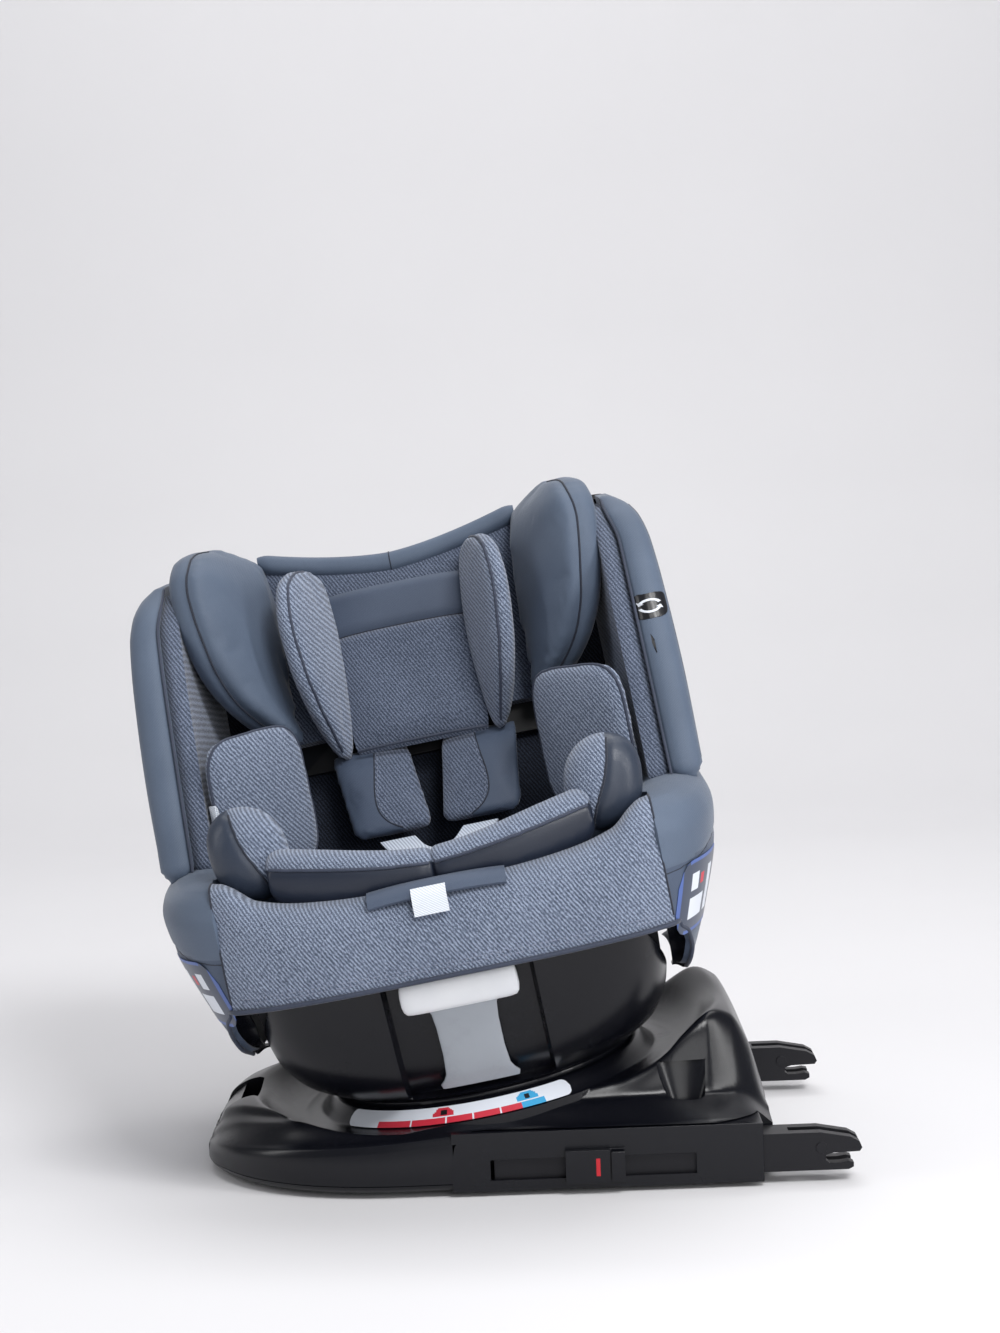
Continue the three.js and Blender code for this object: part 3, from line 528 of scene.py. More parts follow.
def stuff(obj, cap=7, voxel=4.5, pressure=4.0, pin=None, frames=18):
    """Fills a soft piece: remeshed, blown up a little as cloth under pressure, then fixed.

    pin is a world path whose neighbourhood stays put, as a sewn seam holds the fabric.
    """
    scene = bpy.context.scene
    remesh = obj.modifiers.new("remesh", "REMESH")
    remesh.mode, remesh.voxel_size = "VOXEL", voxel * 0.001
    bake(obj)
    rest = np.array([tuple(v.co) for v in obj.data.vertices])
    cloth = obj.modifiers.new("cloth", "CLOTH")
    cs = cloth.settings
    cs.quality, cs.mass = 5, 0.25
    cs.tension_stiffness = cs.compression_stiffness = 18
    cs.shear_stiffness, cs.bending_stiffness = 6, 0.6
    cs.use_pressure, cs.uniform_pressure_force = True, pressure
    cs.effector_weights.gravity = 0
    if pin is not None:
        group = obj.vertex_groups.new(name="pin")
        pts = np.array([tuple(p) for p in smooth([tuple(p) for p in pin], 60)])
        gap = np.linalg.norm(rest[:, None] - pts[None], axis=2).min(axis=1)
        held = [int(i) for i in np.where(gap < voxel * 0.0011)[0]]
        group.add(held, 1.0, "REPLACE")
        cs.vertex_group_mass = "pin"
    cloth.point_cache.frame_start, cloth.point_cache.frame_end = 1, frames
    for f in range(1, frames + 1):
        scene.frame_set(f)
    graph = bpy.context.evaluated_depsgraph_get()
    mesh = bpy.data.meshes.new_from_object(obj.evaluated_get(graph))
    moved = np.array([tuple(v.co) for v in mesh.vertices])
    obj.modifiers.clear()
    delta = moved - rest
    size = np.linalg.norm(delta, axis=1, keepdims=True)
    limit = cap * 0.001
    delta *= np.where(size > limit, limit / np.maximum(size, 1e-9), 1)
    mesh.vertices.foreach_set("co", (rest + delta).ravel())
    mesh.update()
    obj.data = mesh
    scene.frame_set(1)
    return refine(obj, 1)


def sided(matrix, side):
    return matrix @ MIRROR if side < 0 else matrix


# ---------- base ----------
CREST = curve([-233, 20], [-226, 36], [-214, 48], [-200, 54], [-180, 57], [-140, 62], [-100, 66], [0, 86], [100, 108],
              [150, 118], [186, 126], [200, 121], [214, 98], [228, 52])
EDGE = curve([-233, 17], [-222, 25], [-200, 33], [-150, 40], [-80, 46], [0, 52], [180, 54], [214, 50], [228, 40])
LEDGE = curve([-233, 18], [-222, 30], [-200, 42], [-150, 52], [-80, 58], [0, 62], [110, 64], [200, 62], [228, 44])
SHOULDER = curve([-233, 0.3], [-200, 0.55], [-150, 0.72], [0, 0.74], [110, 0.66], [190, 0.56], [228, 0.5])
DISH = curve([0, -11], [156, -11], [166, -8.2], [176, -3], [184, 4], [190, 12], [196, 19], [230, 60], [300, 130])
BASE_BOTTOM = 3


def base_width(x):
    t = np.clip((-60 - x) / 176, 0, 0.999)
    return 158 * (1 - t**2.3) ** (1 / 2.3) * np.interp(x, [180, 228], [1, 0.86])


def base_turn(x):
    return np.minimum(9, (EDGE(x) - BASE_BOTTOM) * 0.35)


def housing_height(x, y):
    w = base_width(x)
    shoulder, crest, edge, shelf, turn = w * SHOULDER(x), CREST(x), EDGE(x), LEDGE(x), base_turn(x)
    ledge = shoulder + (w - shoulder) * 0.45
    ys = [0 * w, shoulder * 0.5, shoulder - 3, shoulder + 5, ledge * 0.96, ledge, w * 0.94, w * 0.985, w]
    zs = [crest, crest, crest - 1, crest - 6, shelf + 2, shelf, edge, edge - turn / 3, edge - turn]
    return blend_rows(np.stack(ys, -1), np.stack(zs, -1), np.minimum(abs(y), w))


def dish_height(x, y):
    depth, c, s = 0 * x, math.cos(TILT), math.sin(TILT)
    for _ in range(4):
        u = (x + depth * s) / c
        depth = DISH(np.hypot(u, y))
    return 70 + u * s + depth * c


def float_ease(low, high, x):
    t = np.clip((x - low) / (high - low), 0, 1)
    return t * t * (3 - 2 * t)


def smooth_min(a, b, k):
    h = np.clip(0.5 + 0.5 * (b - a) / k, 0, 1)
    return b * (1 - h) + a * h - k * h * (1 - h)


def make_base():
    count = 420
    angle = (np.arange(count) + 0.5) / count * 2 * math.pi
    c, s = np.cos(angle), np.sin(angle)
    low, high = np.full(count, 100.0), np.full(count, 330.0)
    for _ in range(30):
        mid = (low + high) / 2
        x, y = mid * c, mid * s
        inside = (x > -233) & (x < 228) & (abs(y) < base_width(np.clip(x, -233, 228)))
        low, high = np.where(inside, mid, low), np.where(inside, high, mid)
    edge_x, edge_y = low * c, low * s

    tilt = np.array(Matrix.Translation((0, 0, 70)) @ Matrix.Rotation(-TILT, 4, "Y"))
    rings = []
    boss = [(127.6, -6), (127.6, 0.8), (128.0, 1.5), (129, 1.9), (130.6, 1.5), (132, 0.6), (137.4, -5.1), (142, -9.9),
            (143.4, -10.8), (145.5, -11)]
    for radius, z in boss:
        local = np.stack([radius * c, radius * s, np.full(count, z), np.ones(count)], 1)
        rings.append((local @ tilt.T)[:, :3])
    start = rings[-1]
    for t in np.linspace(0, 1, 76)[1:]:
        x, y = start[:, 0] * (1 - t) + edge_x * t, start[:, 1] * (1 - t) + edge_y * t
        z = smooth_min(housing_height(x, y), dish_height(x, y), 4 + 14 * float_ease(20, 150, x))
        rings.append(np.stack([x, y, z], 1))
    turn = base_turn(edge_x)
    for part, inset in ((1, 0), (0.8, 0.2), (0.76, 1.1), (0.72, 0.4), (0.5, 1.2), (0.22, 3.4), (0, 7.5)):
        k = 1 - inset / low
        rings.append(np.stack([edge_x * k, edge_y * k, np.minimum(BASE_BOTTOM + turn * part, rings[75][:, 2])], 1))
    body = loft("base_body", rings, BASE, BLACK, "base", 50)
    pockets = []
    for side in (-1, 1):
        end = [(-53, 8), (-53, 40.5), (-20, 40.5), (-20, 8)]
        pockets.append(([(x, side * 125.6, z) for x, z in end], [(x, side * 154.3, z) for x, z in end]))
    carve(body, pockets, BASE)
    cutters = []
    for side in (-1, 1):
        outline = [(-27.6, -5), (-27.6, 30), (-25.5, 40), (-20, 47), (-12, 50.4), (0, 51), (240, 51), (240, -5)]
        cutters.append(([(x, side * 124.4, z) for x, z in outline], [(x, side * 172, z) for x, z in outline]))
        well = oblong(19, 10.5, 2.2, 40)
        deep = oblong(12, 7, 2.2, 40)
        cutters.append(([(160 + x, side * 118 + y, 56) for x, y in deep], [(160 + x, side * 118 + y, 90) for x, y in well * 1.35]))
    slit = [(-250, 17.5), (-250, 80), (-191, 80), (-191, 24), (-200, 17.5)]
    cutters.append(([(x, -31, z) for x, z in slit], [(x, 31, z) for x, z in slit]))
    carve(body, cutters, BASE)
    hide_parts("base_housing")
    return body


def carve(obj, blocks, matrix):
    """Cuts straight-sided blocks, each given by its two end outlines, out of obj."""
    verts, faces = [], []
    for near, far in blocks:
        base, n = len(verts), len(near)
        verts += [matrix @ Vector(p) for p in list(near) + list(far)]
        faces += [[base + i for i in range(n)][::-1], [base + n + i for i in range(n)]]
        faces += [(base + i, base + (i + 1) % n, base + n + (i + 1) % n, base + n + i) for i in range(n)]
    mesh = bpy.data.meshes.new("cutter")
    mesh.from_pydata(verts, [], faces)
    bm = bmesh.new()
    bm.from_mesh(mesh)
    bmesh.ops.recalc_face_normals(bm, faces=bm.faces)
    bm.to_mesh(mesh)
    bm.free()
    cutter = bpy.data.objects.new("cutter", mesh)
    bpy.context.collection.objects.link(cutter)
    cut = obj.modifiers.new("cut", "BOOLEAN")
    cut.operation, cut.object, cut.solver = "DIFFERENCE", cutter, "EXACT"
    bake(obj)
    obj.data.set_sharp_from_angle(angle=math.radians(35))
    bpy.data.objects.remove(cutter)
    return obj


def ring_label():
    """Recline scale on the ring: a white strip with rounded ends, red and blue marks along its lower edge."""
    columns = np.linspace(math.radians(-144.5), math.radians(-60.7), 150)
    grid = []
    for k in np.linspace(0, 1, 15):
        radius, z = 143.9 - 10.7 * k, -9.9 + 10.6 * k
        row = []
        for i, a in enumerate(columns):
            end = min(i, len(columns) - 1 - i) / 4.5
            squeeze = math.sqrt(max(0.0, 1 - (1 - min(end, 1)) ** 2)) * 0.5 + 0.001
            m = 0.5 + (k - 0.5) * 2 * squeeze
            row.append(((143.9 - 10.7 * m) * math.cos(a), (143.9 - 10.7 * m) * math.sin(a), -9.9 + 10.6 * m))
        grid.append(row)
    label = slab("ring_label", grid, 0.35, (0, 0, -60), SWIVEL, [WHITE_FILM, RED_FILM, BLUE_FILM, DARK_FILM], "base")
    first, last = columns[0], columns[-1]

    def face(p):
        t = (math.atan2(p.y, p.x) - first) / (last - first)
        h = (p.z + 9.9) / 10.6
        if h < 0.36 and 0.18 < t < 0.88:
            if min(abs(t - m) for m in (0.34, 0.485, 0.595, 0.70)) < 0.003:
                return 0
            return 2 if t > 0.785 else 1
        for middle, kind in ((0.475, 1), (0.815, 2)):
            wide = 0.045 * (1 - max(0, (h - 0.62) / 0.30) * 0.5)
            if abs(t - middle) < wide and 0.42 < h < 0.92:
                return 3 if abs(t - middle) < 0.012 and 0.52 < h < 0.80 else kind
        return 0

    paint(label, SWIVEL, face)
    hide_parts("recline_scale")


# ---------- cradle ----------
CRADLE_X = curve([6.4, 130], [14, 138], [30, 151], [60, 163], [90, 167], [125, 168], [142, 168])
CRADLE_Y = curve([6.4, 129], [14, 133], [30, 140], [60, 148], [90, 154], [125, 160], [142, 161])
CRADLE_POWER = curve([6.4, 2], [14, 2.4], [30, 3.4], [60, 4.8], [90, 5.4], [142, 5.8])
CRADLE_SHIFT = curve([6.4, 0], [14, -1], [30, -5], [60, -10], [90, -15], [125, -20], [142, -22])


def cradle_front(z):
    return float(CRADLE_SHIFT(z) - CRADLE_Y(z))


def make_cradle():
    rings = []
    for z in [6.4, 7.2, 8.5, *np.linspace(10, 138, 66), 140.6, 141.7, 142]:
        inset = 1.6 * max(0, (8.5 - z) / 2.1) ** 2 + 1.6 * max(0, (z - 140) / 2) ** 2
        wide, deep, power = (float(v) for v in (CRADLE_X(z) - inset, CRADLE_Y(z) - inset, CRADLE_POWER(z)))
        dense = oblong(wide, deep, power, 2400)
        round_ = dense[(dense[:, 1] > 0) | (abs(dense[:, 0]) > 72)]
        order = np.argsort(np.mod(np.arctan2(round_[:, 1], round_[:, 0]) + math.pi / 2, 2 * math.pi))
        round_ = round_[order]
        run = np.concatenate([[0], np.cumsum(np.linalg.norm(np.diff(round_, axis=0), axis=1))])
        at = np.linspace(0, run[-1], 330)
        around = np.stack([np.interp(at, run, round_[:, k]) for k in (0, 1)], 1)
        front = np.array([*np.linspace(-70, -61.5, 6), *np.linspace(-60.5, -57, 6), *np.linspace(-55, 55, 40),
                          *np.linspace(57, 60.5, 6), *np.linspace(61.5, 70, 6)])
        face = np.stack([front, -deep * (1 - (abs(front) / wide) ** power) ** (1 / power)], 1)
        step = np.clip((60.5 - abs(front)) / 3.5, 0, 1)
        face[:, 1] += 12 * step * step * (3 - 2 * step) * ease(8, 13, z)
        ring = np.vstack([face, around])
        rings.append(np.stack([ring[:, 0], ring[:, 1] + float(CRADLE_SHIFT(z)), np.full(len(ring), z)], 1))
    cradle = loft("recline_bowl", rings, SWIVEL, BLACK, "turntable_body", 50)
    arc = [(-15 + 206.5 * math.sin(a), 262 - 206.5 * math.cos(a)) for a in np.linspace(0, 2 * math.pi, 97)[:-1]]
    carve(cradle, [([(-200, y, z) for y, z in arc], [(200, y, z) for y, z in arc])], SWIVEL)
    rear = [(60, 95), (220, 95), (220, 200), (60, 200)]
    carve(cradle, [([(-200, y, z) for y, z in rear], [(200, y, z) for y, z in rear])], SWIVEL)
    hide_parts("recline_cradle")
    return cradle


def make_handle():
    """Grey T handle: a shelf-like grip with a rolled front over a stem that widens at its foot."""
    rings = []
    for z, half, near, far in ((15, 31, 2.2, 7.3), (19, 32, 2.2, 7.3), (23, 28.5, 2.4, 7.3), (28, 26, 2.8, 7.3), (45, 24.6, 3.1, 7.3),
                               (70, 24.8, 3.1, 7.3), (82, 26, 2.6, 7.3), (88, 28, 0.5, 7.3), (91, 33, -4, 7.3)):
        ring = oblong(half, (far - near) / 2, 5, 64)
        bow = 0.9 * (ring[:, 0] / half) ** 2
        rings.append(np.stack([ring[:, 0], ring[:, 1] + (far + near) / 2 + cradle_front(z) + bow, np.full(64, float(z))], 1))
    # The stem takes the darker grey: painted shade from the skirt above it
    stem = loft("recline_handle_stem", rings, SWIVEL, STEM_PAINTED_SHADE, "recline_lever", 50)
    rings = []
    for z, half, near, far in ((87.2, 41, -6.5, 6.4), (88.2, 43.6, -9.5, 7), (91, 45.6, -12.2, 7.3), (96, 46.6, -13.6, 7.3),
                               (103, 46.6, -13.4, 7.3), (109, 46, -11.6, 7.3), (113.6, 44.6, -8, 7.3), (115.7, 41, -4, 6.6),
                               (116, 37, -1, 5)):
        ring = oblong(half, (far - near) / 2, 5, 80)
        rings.append(np.stack([ring[:, 0], ring[:, 1] + (far + near) / 2 + cradle_front(z), np.full(80, float(z))], 1))
    grip = loft("recline_handle_grip", rings, SWIVEL, GREY, "recline_lever", 60)
    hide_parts("recline_handle")


# ---------- seat cover ----------
COVER_WIDTH = curve([58, 177], [84, 193], [118, 208], [165, 224], [192, 228], [205, 224], [213, 212])
COVER_BACK = 96


def cover_depth(z):
    return 207 - float(np.interp(z, [190, 213], [0, 16]))


def cover_line(z, inset=0.0):
    """The cover's plan at a height, from the middle of its front round to its back edge, evenly spaced."""
    wide, deep = float(COVER_WIDTH(z)) - inset, cover_depth(z) - inset
    a = np.linspace(0, math.pi, 900)
    x = wide * np.sin(a) ** (2 / 3.8)
    y = -deep * np.sign(np.cos(a)) * abs(np.cos(a)) ** (2 / 3.8)
    return x, y


def cover_point(z, x=None, y=None, inset=0.0):
    """A point of the cover's side at a height, found by its x at the front or its y at the side."""
    xs, ys = cover_line(z, inset)
    if x is not None:
        i = int(np.argmin(abs(xs - x) + (ys > 0) * 1e3))
    else:
        i = int(np.argmin(abs(ys - y) + (xs < 60) * 1e3))
    return (xs[i], ys[i], z)


def hem_x(z):
    return float(np.interp(z, [30, 60, 92, 108, 118], [170, 178, 186, 183, 174]))


def make_side_cover(name, side):
    grid = []
    heights = [58, 60, 63, *np.linspace(68, 198, 40), 201, 204, 206.5, 208.8, 210.8, 212.2, 213]
    for z in heights:
        xs, ys = cover_line(z)
        start = hem_x(z) if z < 118 else 173.8
        keep = (xs > start) & (ys < COVER_BACK)
        if keep.sum() < 3:
            keep = (ys > -8) & (ys < COVER_BACK)
        px, py = xs[keep], ys[keep]
        run = np.concatenate([[0], np.cumsum(np.hypot(np.diff(px), np.diff(py)))])
        at = np.linspace(0, run[-1], 64)
        grid.append(np.stack([np.interp(at, run, px), np.interp(at, run, py), np.full(64, float(z))], 1))
    roll = ((4, 214.2, 173.8), (9, 215.6, 173.8), (16, 216.4, 173.8), (24, 215.8, 168), (32, 214, 150), (38, 211, 138),
            (42, 205, 128), (44, 196, 122), (48, 180, 118), (52, 160, 110), (54, 140, 100))
    for inset, z, start in roll:
        xs, ys = cover_line(213, inset)
        keep = (xs > start) & (ys < COVER_BACK)
        run = np.concatenate([[0], np.cumsum(np.hypot(np.diff(xs[keep]), np.diff(ys[keep])))])
        at = np.linspace(0, run[-1], 64)
        grid.append(np.stack([np.interp(at, run, xs[keep]), np.interp(at, run, ys[keep]), np.full(64, float(z))], 1))
    shell = slab(f"seat_cover_{name}", grid, 6, (0, -20, 150), sided(SWIVEL, side), [KNIT, PANEL], "seat", 60)
    seam = [cover_point(z, y=y) for z, y in ((166, -120), (172, -60), (178, 10), (183, COVER_BACK - 2))]
    seam = [cover_point(157, x=174.5), cover_point(158, x=190), cover_point(161, x=207)] + seam
    frame_ = sided(SWIVEL, side)
    world = [frame_ @ Vector(p) for p in seam]
    groove(shell, world, 3, 1.6)
    paint(shell, frame_, lambda p: 0 if p.z > seam_height(p.y) else 1)
    tube(f"cover_seam_{name}", world, 0.55, DARK_THREAD, "seat", surface=shell, lift=-0.35)
    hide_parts(f"seat_cover_{name}")
    return shell


def seam_height(y):
    return float(np.interp(y, [-200, -190, -150, -60, 10, 94], [157, 159, 164, 172, 178, 183]))


def skirt_bow(x):
    return 207 * (1 - (1 - (abs(x) / 224) ** 3.8) ** (1 / 3.8))


SKIRT_RISE = curve([0, 0], [60, 0.6], [100, 3], [140, 11], [158, 24], [166, 28], [174, 29])


def skirt_line(x, count=44):
    rise, bow = float(SKIRT_RISE(abs(x))), float(skirt_bow(x))
    line = [(-198.6, 119.2), (-202, 118.3), (-204.6, 119.6), (-206.4, 130), (-207.6, 145), (-207, 158), (-203.4, 173 + rise * 0.6),
            (-194, 183.5 + rise), (-180, 187 + rise), (-168, 186 + rise), (-159, 180 + rise), (-152, 168)]
    return smooth([(x, y + bow, z) for y, z in line], count)


def make_skirt():
    grid = [skirt_line(x) for x in np.linspace(-173.6, 173.6, 150)]
    skirt = slab("seat_cover_skirt", grid, 4.5, (0, -100, 150), SWIVEL, [TWILL], "seat", 60)
    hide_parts("seat_cover_front")
    return skirt


def hem_path(rise=0.0):
    """The lower edge of the cover, from the side panel round the front to the other side."""
    side = [(hem_x(z) + rise, z) for z in (64, 76, 88, 98, 107, 113)]
    points = [cover_point(z, x=min(x, float(COVER_WIDTH(z)) - 1)) for x, z in side]
    points.append(cover_point(117 + rise, x=178))
    front = [(x, -205.5 + skirt_bow(x), 118.8 + rise) for x in (172, 160, 140, 100, 50, 0)]
    half = points + front
    return half + [(-x, y, z) for x, y, z in half[-2::-1]]


def trim_cover(skirt, covers):
    path = [SWIVEL @ Vector(p) for p in hem_path()]
    tube("cover_hem_piping", path, 1.9, BINDING, "seat")
    for name, side in (("left", 1), ("right", -1)):
        grid = []
        for z in np.linspace(60, 117, 24):
            x, y, _ = cover_point(z, x=min(hem_x(z), float(COVER_WIDTH(z)) - 1))
            grid.append([(x - 1 + (169.5 - x) * t, y + 2 + 16 * t + 6 * math.sin(t * math.pi), z) for t in np.linspace(0, 1, 8)])
        slab(f"cover_rim_{name}", grid, 2, (150, 60, 90), sided(SWIVEL, side), [BLACK], "seat", 60)
    for i, rise in enumerate((5.2, 9.0)):
        line = [SWIVEL @ Vector((x, -220 + skirt_bow(x), 118.8 + rise)) for x in np.linspace(-170, 170, 30)]
        stitches(f"hem_stitch_{i}", line, skirt, THREAD, "seat")
    for name, side in (("left", 1), ("right", -1)):
        seam = [sided(SWIVEL, side) @ Vector(tuple(p)) for p in skirt_line(173.9)[3:]]
        tube(f"skirt_seam_{name}", seam, 0.9, DARK_THREAD, "seat")


# ---------- backrest ----------
REAR = curve([161, 205], [220, 212], [300, 217], [400, 222], [445, 222])
WING_FRONT = curve([214, -70], [240, -60], [300, -34], [360, -6], [400, 18], [425, 40], [443, 70])
WING_JOIN = curve([161, 98], [214, 106], [443, 168])
WING_OUTER = curve([214, 226], [300, 228], [360, 227], [400, 225], [420, 221], [434, 213], [443, 200])


def wing_ring(z, inner, outer, front, back, count=72):
    r = min(15, (outer - inner) * 0.48)
    corner = [(outer, front + r * 1.5), (outer - r * 0.12, front + r * 0.75), (outer - r * 0.45, front + r * 0.22), (outer - r, front)]
    nose = [(inner + r * 0.7, front), (inner + r * 0.28, front + r * 0.16), (inner + r * 0.06, front + r * 0.5), (inner, front + r)]
    line = [(outer, back - 4), (outer, (back + front) / 2)] + corner + nose + [(inner, (back + front) / 2), (inner, back - 4)]
    end = [(inner + 4, back), (outer - 4, back)]
    ring = smooth([(x, y, z) for x, y in line + end], count, True)
    return ring


def make_wing(name, side):
    heights = [206, 210, *np.linspace(214.5, 400, 38), 406, 412, 418, 423, 428, 432, 435.5, 438.5, 440.8, 442.3, 443]
    rings, liners = [], []
    for z in heights:
        front, back, outer = float(WING_FRONT(z)), float(WING_JOIN(z)) - 0.4, float(WING_OUTER(z))
        inner = 197.6 - 7 * ease(405, 441, z)
        tuck = 7 * ease(0, 12, 220 - z)
        rings.append(wing_ring(z, inner + tuck, outer - tuck, front + tuck, back))
        if z < 437:
            ring = wing_ring(z, 180.5 - 4 * ease(405, 436, z), inner + 1.5, front + 6 + tuck, back, 64)
            slant = np.clip((ring[:, 1] - front - 20) / max(back - front - 20, 1), 0, 1)
            ring[:, 0] -= 12 * slant * (ring[:, 0] < 192)
            liners.append(ring)
    frame_ = sided(SWIVEL, side)
    wing = loft(f"wing_{name}", rings, frame_, [KNIT], "seat", 60)
    liner = loft(f"wing_liner_{name}", liners, frame_, [TWILL_DEEP], "seat", 60)
    seam = []
    for z in np.linspace(216, 441, 30):
        seam.append(frame_ @ Vector((198.5 - 7 * ease(405, 441, z), float(WING_FRONT(z)) + 3.2, z)))
    tube(f"wing_piping_{name}", seam, 1.3, BINDING, "seat")
    edge = [frame_ @ Vector((float(WING_OUTER(z)) - 0.3, float(WING_FRONT(z)) + 24, z)) for z in np.linspace(222, 432, 30)]
    tube(f"wing_edge_{name}", edge, 0.9, DARK_THREAD, "seat")
    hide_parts(f"backrest_wing_{name}")
    return wing


def make_back_shell():
    """Moulded rear of the backrest: a shallow tray with a raised middle panel and two ribs."""
    xs = np.linspace(-1, 1, 121)
    grid = []
    for z in [161, 163, 166, *np.linspace(170, 436, 84), 439, 441.5, 443]:
        side = min(222, float(WING_OUTER(z)) - 3)
        rear, join = float(REAR(z)), float(WING_JOIN(z))
        path = [(side, join), (side, (join + rear - 34) / 2), (side, rear - 34), (side - 3, rear - 22), (side - 10, rear - 11),
                (side - 26, rear - 3), (side - 50, rear), (side * 0.4, rear), (0, rear)]
        half = smooth([(x, y, z) for x, y in path], 90)
        row = np.vstack([half, half[-2::-1] * [-1, 1, 1]])
        x = abs(row[:, 0])
        dip = 24 * ease(0, 1, (z - 411) / 20) * 0
        panel = np.clip((118 - x) / 8, 0, 1) * ease(185, 200, z) * (1 - ease(380, 398, z))
        rib = (np.exp(-(((x - 146) / 5) ** 2)) + np.exp(-(((x - 166) / 4) ** 2))) * ease(180, 205, z) * (1 - ease(390, 415, z))
        wide = (x < side - 24)
        row[:, 1] += (-6 * panel * panel * (3 - 2 * panel) - 3.4 * rib) * wide - dip
        grid.append(row)
    shell = slab("back_shell_panel", grid, 5, (0, 0, 300), SWIVEL, [BLACK], "seat", 50)
    top = [(-168, 470), (-158, 446), (-142, 426), (-128, 416), (-110, 411), (110, 411), (128, 416), (142, 426), (158, 446), (168, 470)]
    carve(shell, [([(x, 100, z) for x, z in top], [(x, 270, z) for x, z in top])], SWIVEL)
    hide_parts("back_shell")
    return shell


def cushion_rings(half, tall, deep, centre, power=3.0, crown=0.5, count=64, steps=26, turn=0.0):
    """Rings of a crowned pad standing up: half wide, tall half high, deep half thick, thinning towards its edges."""
    rings = []
    for k in np.linspace(-1, 1, steps):
        a = math.sin(k * math.pi / 2)
        wide = half * (1 - abs(a) ** (power * 1.4)) ** (1 / (power * 1.4))
        thick = deep * (1 - abs(a) ** power) ** (crown)
        wide, thick = max(wide, half * 0.10), max(thick, 0.6)
        ring = oblong(wide, thick, 2.5, count)
        x, y = ring[:, 0] * math.cos(turn) - ring[:, 1] * math.sin(turn), ring[:, 0] * math.sin(turn) + ring[:, 1] * math.cos(turn)
        rings.append(np.stack([x + centre[0], y + centre[1], np.full(count, centre[2] + a * tall)], 1))
    return rings


# ---------- headrest ----------
BOLSTER = [(176, 106, 20, 26, 98), (191, 134, 36, 52, 106), (216, 158, 44, 78, 114), (246, 172, 48, 97, 118),
           (282, 179, 50, 108, 119), (313, 181, 50, 108, 119), (337, 178, 44, 97, 119), (352, 169, 32, 80, 120),
           (361, 150, 16, 62, 124)]
OUTER, THICK, REACH, ROOT = (curve(*[(row[0], row[k]) for row in BOLSTER]) for k in (1, 2, 3, 4))
EAR = [(0, 0.12, 10), (12, 0.3, 20), (35, 0.6, 27), (70, 0.88, 31), (110, 1, 32), (140, 0.92, 30), (160, 0.66, 24), (170, 0.34, 14)]
EAR_REACH, EAR_THICK = (curve(*[(row[0], row[k]) for row in EAR]) for k in (1, 2))
HEADREST_LOW, HEADREST_HIGH = 160, 336


def leaf_ring(root, tip, thick, z, count=56, power=2.5):
    """A long oval from root to tip, a little fuller towards its tip."""
    root, tip = np.array(root), np.array(tip)
    run = tip - root
    length = np.linalg.norm(run)
    run /= length
    across = np.array([-run[1], run[0]])
    ring = oblong(length / 2 + thick / 2, thick / 2, power, count)
    taper = 0.95 + 0.05 * ring[:, 0] / (length / 2 + thick / 2)
    points = (root + tip) / 2 + ring[:, :1] * run + (ring[:, 1] * taper)[:, None] * across
    return np.column_stack([points, np.full(count, z)])


def bolster_frame(z):
    outer, thick, reach, root = (float(f(z)) for f in (OUTER, THICK, REACH, ROOT))
    return (root, -12), (outer - thick * 0.42, -reach), thick


def bolster_seam(k):
    """The front seam: it leaves the top outer edge and crosses the face inwards to the foot."""
    z = 360.5 - k * 178
    root, tip, thick = bolster_frame(z)
    run = np.array(tip) - np.array(root)
    run /= np.linalg.norm(run)
    across = np.array([-run[1], run[0]])
    lean = 0.40 - 0.35 * ease(0.0, 0.35, k) - 0.30 * ease(0.55, 1, k)
    point = np.array(tip) + run * thick * 0.5 * math.cos(lean) - across * thick * 0.5 * math.sin(lean)
    return (point[0], point[1], z)


def make_bolster(name, side):
    heights = np.concatenate([[176.5, 177.5], np.linspace(179, 352, 40), [355, 357.6, 359.6, 361]])
    rings = []
    for z in heights:
        root, tip, thick = bolster_frame(z)
        ring = leaf_ring(root, (tip[0] + 2.5, tip[1]), thick, z, 64, 3.3)
        notch = (ring[:, 1] > -42) & (ring[:, 0] < 113)
        ring[notch, 0] = 113
        rings.append(ring)
    frame_ = sided(BACK, side)
    piece = loft(f"bolster_{name}", rings, frame_, [KNIT], "headrest", 60)
    seam = [frame_ @ Vector(bolster_seam(k)) for k in np.linspace(0.02, 0.99, 24)]
    stuff(piece, cap=6, pressure=3.5, pin=seam)
    groove(piece, seam, 5.5, 1.8)
    tube(f"bolster_piping_{name}", seam, 1.0, DARK_THREAD, "headrest", surface=piece, lift=0.1)
    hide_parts(f"headrest_bolster_{name}")
    return piece


